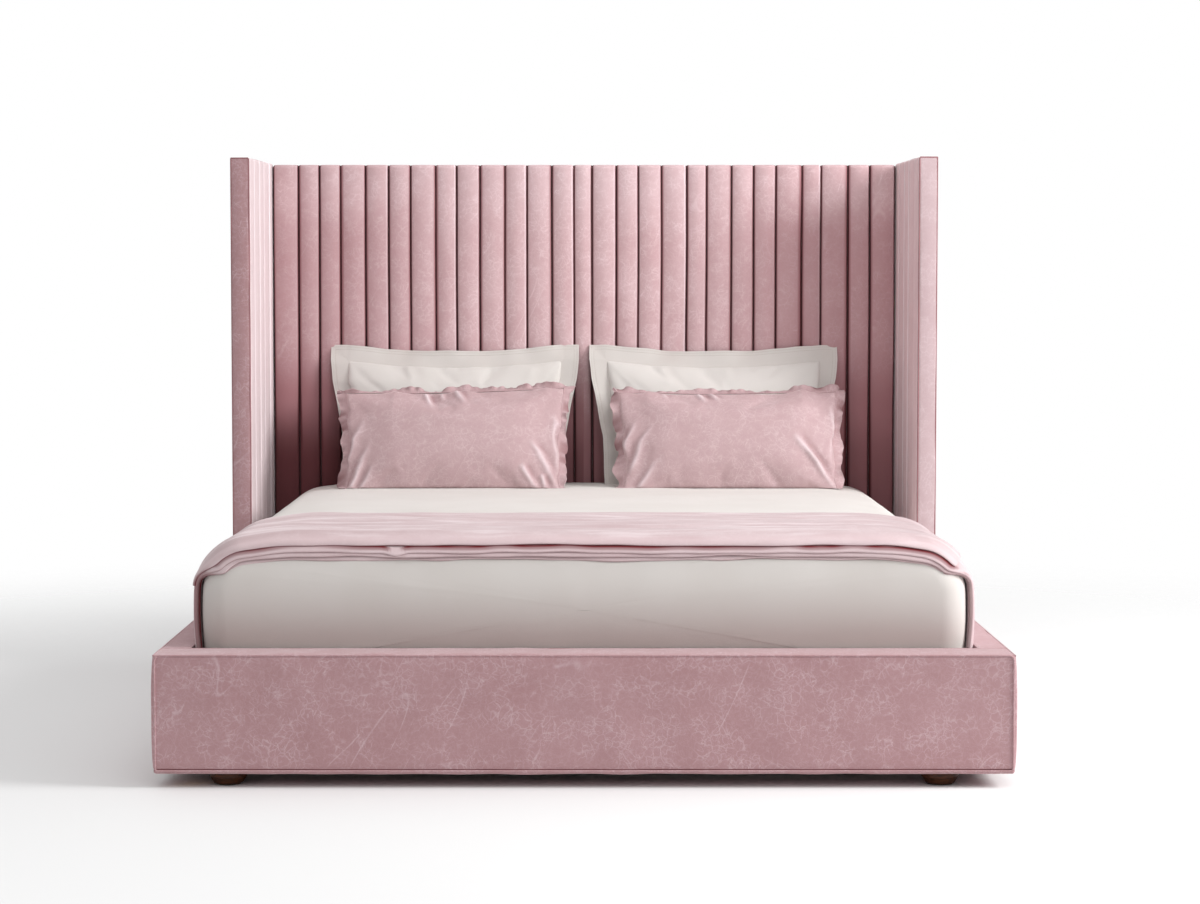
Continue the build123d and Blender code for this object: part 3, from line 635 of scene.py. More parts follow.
def side_rails():
    """The padded covers of the two side rails, each with piping along its top edges."""
    for side, sign in SIDES.items():
        seams = (rail_low.z + HEM_HEIGHT,)
        shape = padded_box(rail_low, rail_high, EDGE_ROUNDING, (0.003, 0.0, 0.002), 5, 0.03, seams)
        shape[0][:, 0] *= sign
        make_piece("side_rail_velvet_" + side, shape, VELVET, ["side_rail_cover_" + side])
        lines = edge_lines(rail_low, rail_high, 0.0, [(1, 1, 0), (1, 1, 1)])
        piping("side_rail_piping_" + side, [line * (sign, 1, 1) for line in lines])


# Channelled pads

POINTS_EACH = 30
# Where each channel's painted highlights lie, from its right edge and from its left, and how strong the
# painted shade down its left side is
RIGHT_EDGE = 0.0042
LEFT_HIGHLIGHT = 0.0048
LEFT_SHADE = 0.22
# A pad's channels: their shares of its width, their grooves' depth and shoulder, how far each one crowns
# and leans, how far the pad's top rolls back, and how far the channels sway and puff
HEADBOARD_FLUTES = SimpleNamespace(
    shares=(25, 21, 21, 25, 23, 22, 25, 21, 23, 25, 22, 25, 22, 18,
            24, 22, 23, 25, 20, 25, 22, 22, 26, 19, 27, 22, 25),
    depth=0.015, shoulder=0.006, crown=0.0085, lean=0.0014, roll=0.012, sway=0.0006, puff=0.0007, seed=21)
WING_FLUTES = {
    side: SimpleNamespace(shares=(20, 24, 21, 24, 20), depth=0.010, shoulder=0.008, crown=0.0022,
                          lean=0.0006, roll=0.007, sway=0.0, puff=0.0001, seed=40 + sign)
    for side, sign in SIDES.items()
}


def channel_section(width, flutes):
    """A channelled face in plan, as five rows of numbers.

    They are places along it, depths behind the crowns, how far across its channel each place is (-1 to 1),
    and how much painted highlight and painted shade it gets.
    """
    draw = np.random.default_rng(flutes.seed)
    total = sum(flutes.shares)
    grooves = flutes.depth * draw.uniform(0.5, 1.0, len(flutes.shares) + 1)
    grooves[[0, -1]] = flutes.depth
    rows = []
    start = 0.0
    for number, share in enumerate(flutes.shares):
        span = width * share / total
        lean = draw.uniform(-flutes.lean, flutes.lean)
        sunk = draw.uniform(0.0, 0.0015)
        glow = draw.uniform(0.55, 1.0)
        for step in range(POINTS_EACH):
            across = (1 - math.cos(math.pi * step / POINTS_EACH)) / 2
            u = 2 * across - 1
            side = max(0.0, 1 - min(across, 1 - across) * span / flutes.shoulder)
            drop = grooves[number + (u > 0)] * (1 - math.sqrt(max(0.0, 1 - side ** 2.1)))
            depth = drop + sunk + lean * u * (1 - side) + flutes.crown * u * u
            right, left = (1 - across) * span, across * span
            # Painted highlights by the right edge and the left groove, painted shade down the left side
            pale = glow * bell(right, RIGHT_EDGE, 0.002) + 0.45 * bell(left, LEFT_HIGHLIGHT, 0.0009)
            rows.append((start + left, depth, u, pale, LEFT_SHADE * math.exp(-left / 0.008)))
        start += span
    rows.append((width, flutes.depth, 1.0, 0.0, 0.0))
    return np.array(rows).T


def channelled_pad(width, thickness, bottom, top, flutes):
    """The shape of a channelled pad: x along its width, y from its crowns back."""
    places, depths, middles, pale, shaded = channel_section(width, flutes)
    roll, seed = flutes.roll, flutes.seed
    turns = [share * math.pi / 2 for share in np.linspace(0, 1, 9)[1:]]
    heights = [(bottom + roll * 0.3, 0.3 * roll)]
    heights += [(level, 0.0) for level in np.linspace(bottom + roll, top - roll, 70)]
    heights += [(top - roll + roll * math.sin(turn), roll * (1 - math.cos(turn))) for turn in turns]
    rows = []
    for level, back in heights:
        spots = together(places, level, 0)
        sway = flutes.sway * wobble(spots, 0.35, seed + 1, (1.0, 0.6, 1.0))
        puff = flutes.puff * wobble(spots, 0.12, seed + 2, (1.0, 0.5, 1.0))
        corner = 0.0025 * np.abs(middles) ** 14 * smooth(level, top - 3 * roll, top)
        rows.append(together(places + sway, np.minimum(depths + back + puff, thickness - 0.0004),
                             level - corner))
    crest, foot = rows[-1].copy(), rows[0].copy()
    crest[:, 1] = foot[:, 1] = thickness
    rows = [foot] + rows + [crest]
    count = len(places)
    faces = grid_faces(len(rows), count)
    left = [r * count for r in range(len(rows))]
    right = [r + count - 1 for r in left]
    faces += [tuple(left), tuple(right[::-1]), (left[0], left[-1], right[-1], right[0])]
    # Painted shade in the grooves; painted highlights kept out of them
    deep = smooth(depths, 0.3 * flutes.depth, 0.85 * flutes.depth)
    marks = {"sunk": np.tile(np.maximum(deep, shaded), len(rows)),
             "painted_highlight": np.tile(pale * (1 - deep), len(rows))}
    return np.concatenate(rows), faces, marks


TOP_FULLNESS = 0.003
# How much shade is painted on the velvet low down and beside the wing, on the left and on the right, and
# how high above the mattress the painted shade and the painted light lie
LOW_SHADE = (0.65, 0.42)
WING_SHADE = (0.15, 0.21)
LOW_BAND = (0.05, 0.45)
LIT_BAND = (0.74, 0.91)


def headboard():
    """The channelled pad, the plain pad behind the mattress and the cover round the sides and back."""
    points, faces, marks = channelled_pad(pad_high.x - pad_low.x, pad_high.y - pad_low.y, pad_low.z,
                                          pad_high.z, HEADBOARD_FLUTES)
    points[:, 0] += pad_low.x
    points[:, 1] += pad_low.y
    points[:, 2] += TOP_FULLNESS * smooth(points[:, 2], pad_high.z - 0.1, pad_high.z)
    # Painted shade low down, beside the wings and in the grooves, and painted light near the top
    x, height = points[:, 0], points[:, 2]
    low_down = 1 - smooth(height, *[sheet_high.z + level for level in LOW_BAND])
    upper = smooth(height, *[sheet_high.z + level for level in LIT_BAND])
    beside = np.where(x < 0, *WING_SHADE) * smooth(np.abs(x), 0.25, 0.7)
    shade = np.maximum(marks["sunk"], 0.05 * (1 - upper)) + beside * (1 - 0.8 * upper)
    shade += np.where(x < 0, *LOW_SHADE) * low_down
    marks["sunk"] = np.minimum(shade, 1 - 0.15 * (marks["sunk"] < 0.5))
    lit = 0.1 * upper * np.clip(1 - 6 * beside, 0, 1)
    marks["painted_highlight"] = (marks["painted_highlight"] * (1 - beside) + lit) * (1 - low_down)
    make_piece("headboard_channels", (points, faces, marks), PAINTED_LIT_FLUTE_VELVET, ["headboard_channel_pad"],
               sharp=80.0)
    shape = padded_box(lower_low, lower_high, 0.006, (0, 0.002, 0), 8, 0.04)
    make_piece("headboard_plain_pad", shape, VELVET, ["headboard_lower_pad"])
    seams = (back_low.z + HEM_HEIGHT,)
    shape = padded_box(back_low, back_high, EDGE_ROUNDING, (0.002, 0.003, 0.001), 9, 0.035, seams)
    make_piece("headboard_velvet_back", shape, VELVET, ["headboard_back_cover"])
    piping("headboard_piping", edge_lines(back_low, back_high, 0.001, [(0, 1, 1), (2, 0, 1), (2, 1, 1)]))


# Wings

WING_SPLAY = math.radians(6.0)
WING_ROOT = 0.9458
WING_LENGTH = 0.3419
WING_THICKNESS = 0.056
WING_PAD_THICKNESS = 0.017
WING_FRONT_PADDING = 0.018
# How far each wing's top rises towards its front
WING_RISE = {-1: 0.0035, 1: 0.0065}
PAD_GAP = 0.0003


def to_wing(points, sign):
    """Points (through the wing, along it, up), into their place on the left or right wing."""
    through, along, up = points.T
    up = up + WING_RISE[sign] * (along / WING_LENGTH) * smooth(up, wing_high.z - 0.4, wing_high.z)
    start = through * math.tan(WING_SPLAY)
    along = start + along * (WING_LENGTH - start) / WING_LENGTH
    x = WING_ROOT + along * math.sin(WING_SPLAY) + through * math.cos(WING_SPLAY)
    y = pad_high.y - along * math.cos(WING_SPLAY) + through * math.sin(WING_SPLAY)
    return together(x * sign, y, up)


def wings():
    """Each wing: a padded cover that wraps its outside, front and top, and a channelled inner pad."""
    bottom, top = wing_low.z, wing_high.z
    front = WING_LENGTH - WING_FRONT_PADDING
    for side, sign in SIDES.items():
        low, high = (0.0, 0.0, bottom), (WING_THICKNESS, WING_LENGTH, top)
        points, faces, marks = padded_box(low, high, EDGE_ROUNDING, (0.003, 0.0028, 0.0045), 12 + sign)
        inner = 1 - smooth(points[:, 0], WING_PAD_THICKNESS * 0.6, WING_PAD_THICKNESS * 1.2)
        behind = 1 - smooth(points[:, 1], front - 0.001, front + 0.001)
        points[:, 0] += inner * behind * (WING_PAD_THICKNESS - points[:, 0])
        make_piece("wing_velvet_" + side, (to_wing(points, sign), faces, marks), WING_COVER[side],
                   ["wing_cover_" + side])
        points, faces, marks = channelled_pad(front - PAD_GAP, WING_PAD_THICKNESS, bottom, top,
                                              WING_FLUTES[side])
        shape = to_wing(points[:, [1, 0, 2]], sign), faces, marks
        make_piece("wing_channels_" + side, shape, PAINTED_LIT_WING_VELVET[side], ["wing_channel_pad_" + side],
                   sharp=80.0)
        lines = edge_lines(low, high, 0.001, [(2, 0, 1), (2, 1, 1), (0, 1, 1), (1, 1, 1)])
        piping("wing_piping_" + side, [to_wing(line, sign) for line in lines], PAINTED_SHADE_PIPING_VELVET)


# Mattress

MATTRESS_SIDE = 0.892
MATTRESS_SHOULDER = 0.534
MATTRESS_FLAT = 0.71
EDGE_RADIUS = 0.11
CROWN_RADIUS = 0.7
END_RADIUS = 0.065
SIDE_BULGE = 0.008
FOOT_BULGE = 0.012
END_FULLNESS = 0.006
UNDERSIDE_INSET = 0.4
CAP_SHARES = (0.02, 0.15, 0.3, 0.45, 0.6, 0.72, 0.82, 0.9, 0.96)
SHEET_EASE = 0.0005
SHEET_DIP = 0.0002
mattress_base, mattress_top = sheet_low.z, sheet_high.z
mattress_foot, mattress_head = sheet_low.y, sheet_high.y


def mattress_section(base):
    """The mattress cut across the bed: (x, z) points from its left base over the top to its right base."""
    side, flat, shoulder, top = MATTRESS_SIDE, MATTRESS_FLAT, MATTRESS_SHOULDER, mattress_top
    corners = [(-side, base), (-side, shoulder), (-flat, top), (flat, top), (side, shoulder), (side, base)]
    line = rounded_line(corners, [EDGE_RADIUS, CROWN_RADIUS, CROWN_RADIUS, EDGE_RADIUS],
                        (12, 8, 70, 8, 12), 12)
    height = np.clip((line[:, 1] - mattress_base) / (shoulder - mattress_base), 0, 1)
    line[:, 0] += SIDE_BULGE * np.sin(math.pi * height) * np.sign(line[:, 0]) * (np.abs(line[:, 0]) > flat)
    return line


def mattress():
    """The mattress in its fitted sheet: soft ends, a crowned top and faint pulls in the cloth."""
    line = mattress_section(mattress_base)
    bottom = np.linspace(line[-1], line[0], 42)[1:-1]
    ring = np.concatenate([line, bottom])
    normals = np.concatenate([outward(line), np.tile([0.0, -UNDERSIDE_INSET], (len(bottom), 1))])
    centre = np.array([0.0, (mattress_base + mattress_top) / 2])
    rows = []

    def add(y, inset, shrink=1.0):
        flat = centre + (ring - normals * inset - centre) * shrink
        rows.append(together(flat[:, 0], y, flat[:, 1]))

    arc = [(END_RADIUS * (1 - math.sin(angle)), END_RADIUS * (1 - math.cos(angle)))
           for angle in [a * math.pi / 2 / 10 for a in range(11)]]
    for share in CAP_SHARES:
        add(mattress_foot - END_FULLNESS * (1 - share ** 2), END_RADIUS, share)
    for inward, inset in reversed(arc):
        add(mattress_foot + inward, inset)
    for y in np.linspace(mattress_foot + END_RADIUS, mattress_head - END_RADIUS, 90)[1:-1]:
        add(y, 0.0)
    for inward, inset in arc:
        add(mattress_head - inward, inset)
    for share in reversed(CAP_SHARES):
        add(mattress_head, END_RADIUS, share)
    points = np.concatenate(rows)
    away = unit((points - np.array([0, (mattress_foot + mattress_head) / 2, centre[1]])) * (0.3, 0.2, 1.0))
    height = np.clip((points[:, 2] - foot_high.z) / (MATTRESS_SHOULDER - foot_high.z), 0, 1)
    front = 1 - smooth(points[:, 1], mattress_foot, mattress_foot + END_RADIUS)
    points[:, 1] -= FOOT_BULGE * np.sin(math.pi * height) * front
    top = smooth(points[:, 2], mattress_top - 0.05, mattress_top)
    pulls = 0.0012 * wobble(points, 0.3, 31, (1.0, 2.2, 1.0)) * top
    lift = np.maximum(pulls + 0.0006 * wobble(points, 0.22, 32), -SHEET_DIP) + SHEET_EASE
    points = points + away * lift[:, None]
    # Painted shade on the sheet, darker towards the bottom of its front end
    marks = {"sunk": (1 - smooth(points[:, 2], foot_high.z - 0.05, MATTRESS_SHOULDER)) ** 1.5 * front}
    make_piece("mattress_sheet", (points, sleeve_faces(len(rows), len(ring)), marks), PERCALE,
               ["fitted_sheet"], "mattress")


# Throw

THROW_WIDTH = 2.3
LAYER = 0.0038
LIP_SWELL = 0.003
SIDE_HEM = 0.284
SLACK = 0.0045
LAYER_GAP = 0.0006
# How high the creases and the soft folds stand, and how far across they are
CREASES = (0.0021, 0.085)
FOLDS = (0.0022, 0.2)
SECTION_POINTS = 300
REACH_STEPS = 56
# Each layer from the lowest: how far its front fold turns down over the edge, how far round at the sides,
# how thick it is there, and its left and right hems
THROW_LAYERS = (
    (71, 10, 0.003, 0.284, 0.284), (66, 12, 0.003, 0.286, 0.288),
    (60, 16, 0.0075, 0.292, 0.296), (47, 17, 0.004, 0.44, 0.498),
)
throw_stretch = throw_high.y - mattress_foot - END_RADIUS


def throw_section(left_hem, right_hem):
    """The mattress's section between two hem heights, evenly spaced, with its normals."""
    line = mattress_section(SIDE_HEM)
    lengths = travelled(line)
    half = len(line) // 2
    start = np.interp(left_hem, line[:half, 1], lengths[:half])
    end = np.interp(right_hem, line[:half:-1, 1], lengths[:half:-1])
    even = np.linspace(start, end, SECTION_POINTS)
    line = points_at(line, lengths, even)
    return line, outward(line), even


def fold_reach(number, line, length, aside):
    """How far a layer's front fold lies from its rear hem along its section, and how it wavers."""
    lip, side_lip = THROW_LAYERS[number][:2]
    spots = together(length, 0, number * 3.0)
    waver = wobble(spots, 0.4, 51) * 0.55 + wobble(spots, 0.13, 52) * 0.45
    pinch = bell(line[:, 0], -0.44, 0.02) * (number == 2)
    lips = np.radians(lip * (1 - aside) + side_lip * aside)
    lips = lips + math.radians(2.2) * waver * (1 - 0.5 * aside) + math.radians(6) * pinch
    flare = np.radians(9) * (1 - smooth(line[:, 1], SIDE_HEM, SIDE_HEM + 0.1)) * (number < 3)
    return throw_stretch + END_RADIUS * (lips + flare), waver


def throw_layer(number):
    """The shape of one folded layer: a flat closed sleeve with a rolled front fold. Gives its area too."""
    side_thick, left_hem, right_hem = THROW_LAYERS[number][2:]
    side_base = sum(layer[2] for layer in THROW_LAYERS[:number])
    line, normals, length = throw_section(left_hem, right_hem)
    hang = 1 - smooth(line[:, 1], MATTRESS_SHOULDER - 0.08, MATTRESS_SHOULDER - 0.01)
    aside = smooth(line[:, 1].max() - line[:, 1], 0.045, 0.11)
    left = line[:, 0] < 0
    reaches, waver = fold_reach(number, line, length, aside)
    under = (number * LAYER * (1 - aside) + side_base * aside + LAYER_GAP)[:, None]
    thick = (LAYER * (1 - aside) + side_thick * aside - LAYER_GAP)[:, None]
    lift = ((0.0022 * (number > 0) + 0.001 * np.abs(waver)) * (1 - 0.7 * aside))[:, None]
    fold = reaches[:, None]
    t = fold * (np.arange(REACH_STEPS + 1) / REACH_STEPS)[None, :]
    back = length[:, None] * 0.3
    creases = CREASES[0] * (wobble(together(back, t, 0), CREASES[1], 57) + 0.9)
    folds = FOLDS[0] * (wobble(together(back * 0.8, t, 1), FOLDS[1], 58) + 1.0)
    rise = (creases + folds) * smooth(t, 0.0, 0.06) * (1 - 0.7 * aside[:, None])
    rise *= 0.3 + 0.7 * (number == 3)
    rise *= 1 - smooth(t, fold - 0.05, fold - 0.01) * 0.8
    near = smooth(t, fold - 0.035, fold - 0.004)
    loose = (SLACK * hang)[:, None]

    def at(t, height):
        """Points t metres from the rear hem towards the foot, this high off the mattress."""
        turn = np.maximum(t - throw_stretch, 0) / END_RADIUS
        ahead = np.minimum(t - throw_stretch, 0)
        radius = END_RADIUS + height + loose
        reach = radius * np.cos(turn) - END_RADIUS
        return together(line[:, :1] + normals[:, :1] * reach,
                        mattress_foot + END_RADIUS - ahead - radius * np.sin(turn),
                        line[:, 1:] + normals[:, 1:] * reach)

    top = at(t, under + thick + rise + LIP_SWELL * near + lift * near)
    base = at(t, under + lift * near)
    nose = (thick + LIP_SWELL) / 2
    angles = (np.pi * np.arange(1, 7) / 7)[None, :]
    tip = at(fold + nose * np.sin(angles), under + lift + nose + nose * np.cos(angles))
    rows = np.concatenate([top, tip, base[:, ::-4]], axis=1)
    count = rows.shape[1]
    for end in (0, -1):
        rows[end] = rows[end] * 0.35 + (rows[end] + rows[end, ::-1]) / 2 * 0.65
    faces = sleeve_faces(len(rows), count)
    # Painted shade on the left hanging side and on the folds' noses, and a painted shadow just behind the
    # fold of the layer above. Painted highlights on the folds, but not on the left.
    sunk, pale = np.zeros(rows.shape[:2]), np.zeros(rows.shape[:2])
    rim = REACH_STEPS + 1
    sunk[:, rim:] = (aside * left * (0.5 + 0.3 * (number < 2)))[:, None]
    edge = 1.0 if number in (0, 3) else 0.5
    sunk[:, rim + 3:] = np.maximum(sunk[:, rim + 3:], edge * (1 - 0.9 * aside * ~left)[:, None])
    sunk[:, rim + 2] = np.maximum(sunk[:, rim + 2], 0.6 * edge)
    sunk[:, rim + 7:] = 0
    if number < 3:
        behind = fold_reach(number + 1, line, length, aside)[0][:, None]
        cast = 1.0 if number == 2 else 0.25
        sunk[:, :rim] = cast * bell(t - behind, 0.0045, 0.0032) * (1 - aside[:, None])
    pale[:, :rim] = 0.5 * near
    pale[:, rim:rim + 3] = 0.45
    pale *= 1 - (aside * left)[:, None]
    area = (length[-1] - length[0]) * reaches.mean()
    return rows.reshape(-1, 3), faces, {"sunk": sunk.ravel(), "painted_highlight": pale.ravel()}, area


def throw():
    """The folded throw over the foot of the bed: four layers whose folds lie one behind another."""
    layers = [throw_layer(number) for number in range(len(THROW_LAYERS))]
    faces, first = [], 0
    for layer_points, layer_faces, _, _ in layers:
        faces += [tuple(first + v for v in face) for face in layer_faces]
        first += len(layer_points)
    points = np.concatenate([layer[0] for layer in layers])
    marks = {label: np.concatenate([layer[2][label] for layer in layers]) for label in ("sunk", "painted_highlight")}
    area = sum(layer[3] for layer in layers)
    piece = make_piece("throw_folded", (points, faces, marks), BLANKET, ["throw"], "folded_throw",
                       sharp=70.0)
    area / THROW_WIDTH


# Pillows

CASE_STEP = 0.0095
SIM_FRAMES = 22
# How firmly the seam is held at its sides and at its top
SEAM_HOLD = (0.05, 0.2)
CLOTH_RULES = {
    "quality": 6, "mass": 0.2, "tension_stiffness": 20, "compression_stiffness": 20, "shear_stiffness": 6,
    "bending_stiffness": 0.4, "tension_damping": 10, "compression_damping": 10, "shear_damping": 10,
    "air_damping": 2, "use_pressure": True, "vertex_group_pressure": "fill", "vertex_group_mass": "hold",
}
CASE_PUFF = 0.038
CASE_RIPPLE = 0.0012
FOOT_GAP = 0.0002
# How far a pillow's foot is pressed flat, and how far its flange may reach behind its box
SINK = 0.014
BACK_PLAY = 0.009
PILLOW_THICKNESS = 0.13
FLANGE_CLOTH = 0.0012
HEM_ROLL = 0.0007
FLANGE_SHADE = 0.14
GATHER_SHADE = 22.0
PULL_GLOW = 60.0
PULL_SHADE = 26.0
STITCH_INSETS = (0.0055, 0.014)
STITCH = 0.0042
STITCH_GAP = 0.0016
STITCH_RADIUS = 0.0008
STATION_STEP = 0.004
CORNER_STEPS = 8
# Marks on a case's points that say where on it they lie
GUIDES = ("across", "up", "ahead")

# A kind of pillow. profile is how wide the body is at each height, from -1 to 1, sag how far the middle of
# its top hangs, slimming how much thinner it is at its edge. The two values of flange and lean are for the
# side and the top. waves are how far the flange's waves stand out, how long they are and how deep they
# scallop its hem.
WHITE_CASE = SimpleNamespace(
    finish=PILLOW_COTTON, slot="cotton", width=0.67, height=0.39, tilt=math.radians(18), pressure=1.7,
    slimming=0.25, profile=((-1, 0.86), (-0.2, 0.875), (0.3, 0.93), (0.7, 0.98), (1, 1.0)), sag=0.02,
    flange=(0.05, 0.05), lean=(0.0, math.radians(4)), waves=((0.005, 0.2, 0.0), (0.0015, 0.08, 0.03)))
PINK_CASE = SimpleNamespace(
    finish=PALE_VELVET, slot="satin", width=0.68, height=0.335, tilt=math.radians(32), pressure=2.2,
    slimming=0.45, sag=0.006,
    profile=((-1, 0.965), (-0.75, 0.945), (-0.2, 0.94), (0.4, 0.957), (0.8, 0.985), (1, 1.0)),
    flange=(0.036, 0.034), lean=(math.radians(26), math.radians(16)),
    waves=((0.0105, 0.085, 0.42), (0.0065, 0.034, 0.2)))
EVEN_HEIGHTS = ((-1, 1.0), (1, 1.0))

# Each pillow: its case, a seed, how far its top tips to one side, its flange's height and its pulls.
# heights are pairs of a place across the top, from -1 to 1, and the flange's height there as a share.
# pulls are ridges in the front cloth, each from (x0, z0) to (x1, z1) in shares of the body's half width
# and half height, with a width and a height in metres.
PILLOWS = {
    "back_left": SimpleNamespace(case=WHITE_CASE, seed=3, tip=0.0, heights=EVEN_HEIGHTS, pulls=(
        (-0.45, 0.98, -0.36, 0.6, 0.014, 0.003), (0.72, 0.95, 0.66, 0.5, 0.016, 0.002))),
    "back_right": SimpleNamespace(case=WHITE_CASE, seed=8, tip=0.0, heights=EVEN_HEIGHTS, pulls=(
        (-0.5, 0.98, -0.42, 0.62, 0.014, 0.003), (0.1, 0.97, 0.14, 0.66, 0.014, 0.002))),
    "front_left": SimpleNamespace(case=PINK_CASE, seed=5, tip=0.026, heights=(
        (-1, 0.6), (-0.86, 0.25), (-0.7, 0.35), (-0.5, 0.7), (-0.3, 1.0), (-0.05, 0.9), (0.12, 1.05),
        (0.22, 0.7), (0.36, 0.35), (0.5, 0.8), (0.75, 0.75), (0.9, 0.5), (1, 0.6)), pulls=(
        (-0.27, 0.97, -0.2, 0.55, 0.009, 0.009), (0.0, 0.98, 0.09, 0.57, 0.009, 0.0085),
        (-0.13, 0.98, -0.1, 0.78, 0.007, 0.005), (0.63, -0.6, 0.78, -0.98, 0.009, 0.0075),
        (0.72, -0.2, 0.95, -0.85, 0.010, 0.007), (0.82, -0.72, 0.86, -0.98, 0.008, 0.0075),
        (0.9, 0.3, 0.95, -0.6, 0.012, 0.005), (-0.95, -0.95, -0.76, -0.2, 0.009, 0.0065),
        (-0.97, -0.4, -0.8, 0.3, 0.010, 0.0055), (-0.86, -0.98, -0.72, -0.55, 0.009, 0.005))),
    "front_right": SimpleNamespace(case=PINK_CASE, seed=11, tip=0.006, heights=(
        (-1, 0.9), (-0.85, 0.5), (-0.65, 0.3), (-0.4, 0.45), (-0.15, 0.75), (0.1, 0.5), (0.3, 0.3),
        (0.5, 0.4), (0.62, 0.85), (0.9, 0.95), (1, 0.9)), pulls=(
        (-0.27, 0.97, -0.2, 0.68, 0.009, 0.008), (-0.16, 0.98, -0.08, 0.72, 0.008, 0.007),
        (-0.58, 0.97, -0.55, 0.75, 0.008, 0.005), (0.6, -0.1, 0.9, -0.75, 0.010, 0.0075),
        (0.7, -0.3, 0.97, -0.92, 0.009, 0.0075), (0.93, 0.55, 0.92, -0.4, 0.011, 0.005),
        (-0.9, -0.55, -0.7, 0.1, 0.009, 0.006), (-0.93, -0.2, -0.83, 0.3, 0.009, 0.005),
        (-0.85, -0.95, -0.68, -0.5, 0.010, 0.0055))),
}


def quads(grid):
    """Quads over a grid of point numbers."""
    corners = grid[:-1, :-1], grid[1:, :-1], grid[1:, 1:], grid[:-1, 1:]
    return [tuple(int(v) for v in quad) for quad in zip(*[c.ravel() for c in corners])]


def sew_case(case, seed):
    """The case before it is filled: a front and a back, sewn together round their edge."""
    xs = np.linspace(-case.width / 2, case.width / 2, round(case.width / CASE_STEP) + 1)
    zs = np.linspace(-case.height / 2, case.height / 2, round(case.height / CASE_STEP) + 1)
    x, z = np.meshgrid(xs, zs, indexing="ij")
    u, v = x / (case.width / 2), z / (case.height / 2)
    puff = CASE_PUFF * ((1 - np.abs(u) ** 3) * (1 - np.abs(v) ** 3)).clip(0, 1) ** 0.6
    ripple = CASE_RIPPLE * wobble(together(x, 0, z), 0.13, seed)
    front = np.arange(x.size).reshape(x.shape)
    inside = np.zeros(x.shape, bool)
    inside[1:-1, 1:-1] = True
    back = front.copy()
    back[inside] = x.size + np.arange(inside.sum())
    ahead = together(x, ripple - puff, z).reshape(-1, 3)
    return {
        "points": np.concatenate([ahead, together(x, puff, z)[inside]]), "front": front,
        "faces": quads(front) + [quad[::-1] for quad in quads(back)],
        "full": np.concatenate([inside.ravel(), np.ones(inside.sum())]).astype(float),
        "across": np.concatenate([u.ravel(), u[inside]]), "up": np.concatenate([v.ravel(), v[inside]]),
        "ahead": np.concatenate([inside.ravel(), np.zeros(inside.sum())]).astype(float),
    }


def blow_up(name, case, sewn):
    """Fills the case by Cloth: pressure inside it, with its seam held lightly where it lies."""
    piece = add_object(name, new_mesh(name, sewn["points"], sewn["faces"]))
    at_side, at_top = SEAM_HOLD
    seam = at_top + (at_side - at_top) * smooth(np.abs(sewn["across"]) - np.abs(sewn["up"]), -0.05, 0.05)
    for label, weights in (("fill", sewn["full"]), ("hold", (1 - sewn["full"]) * seam)):
        group = piece.vertex_groups.new(name=label)
        for number, weight in enumerate(weights):
            group.add([number], float(weight), "REPLACE")
    cloth = piece.modifiers.new("filling", "CLOTH")
    cloth.collision_settings.use_collision = False
    cloth.point_cache.frame_end = SIM_FRAMES
    for rule, value in CLOTH_RULES.items():
        setattr(cloth.settings, rule, value)
    cloth.settings.uniform_pressure_force = case.pressure
    cloth.settings.effector_weights.gravity = 0
    for frame_number in range(1, SIM_FRAMES + 1):
        scene.frame_set(frame_number)
    points = np.array([v.co[:] for v in evaluated(piece).data.vertices])
    bpy.data.objects.remove(piece)
    scene.frame_set(1)
    return points


def shape_body(case, sewn, points):
    """The filled body drawn in at its sides and with an even sag along its top."""
    front, across, up = sewn["front"], sewn["across"], sewn["up"]
    levels, places = up[front[0, :]], across[front[:, 0]]
    left, right = points[front[0, :], 0], points[front[-1, :], 0]
    full = (right - left).max() / 2
    points[:, 0] -= np.interp(up, levels, (left + right) / 2)
    points[:, 0] *= full * np.interp(up, *zip(*case.profile)) / np.interp(up, levels, (right - left) / 2)
    top = points[front[:, -1], 2]
    wanted = top.max() - case.sag * (1 - places ** 2)
    rise = np.interp(across, places, wanted) - np.interp(across, places, top)
    points[:, 2] += smooth(up, -0.6, 1.0) * rise
    points[:, 1] *= 1 - case.slimming * np.maximum(smooth(np.abs(across), 0.5, 1.0), smooth(up, 0.4, 1.0))
    return points


class Setting:
    """Where a pillow goes: it sizes the case's points and leans them back between low and high."""

    def __init__(self, pillow, points, low, high):
        case = pillow.case
        self.low, self.high, self.lean, self.tip = low, high, case.tilt, pillow.tip
        self.middle = (points.max(axis=0) + points.min(axis=0)) / 2
        width = high.x - low.x - 2 * case.flange[0] * math.cos(case.lean[0])
        rise = case.flange[1] * math.cos(case.tilt + case.lean[1])
        self.scale = np.array([width, PILLOW_THICKNESS, 1.0]) / np.ptp(points, axis=0)
        self.scale[2] = 1.0
        for _ in range(3):
            _, z = self.leaned(self.sized(points))
            self.scale[2] *= (high.z - low.z + SINK - rise) / np.ptp(z)
        y, z = self.leaned(self.sized(points))
        self.shift = high.y - y.max(), high.z - rise - z.max()

    def sized(self, points):
        return (points - self.middle) * self.scale

    def leaned(self, points):
        y = points[:, 1] * math.cos(self.lean) + points[:, 2] * math.sin(self.lean)
        z = points[:, 2] * math.cos(self.lean) - points[:, 1] * math.sin(self.lean)
        return y, z

    def placed(self, points):
        """Sized points in their place, their foot pressed flat on the mattress."""
        y, z = self.leaned(points)
        y, z = y + self.shift[0], z + self.shift[1]
        height = np.clip((z - self.low.z) / (self.high.z - self.low.z), 0, 1.1)
        z = z + self.tip * points[:, 0] * height
        return together(points[:, 0] + (self.low.x + self.high.x) / 2,
                        np.minimum(y, self.high.y + BACK_PLAY), np.maximum(z, self.low.z + FOOT_GAP))


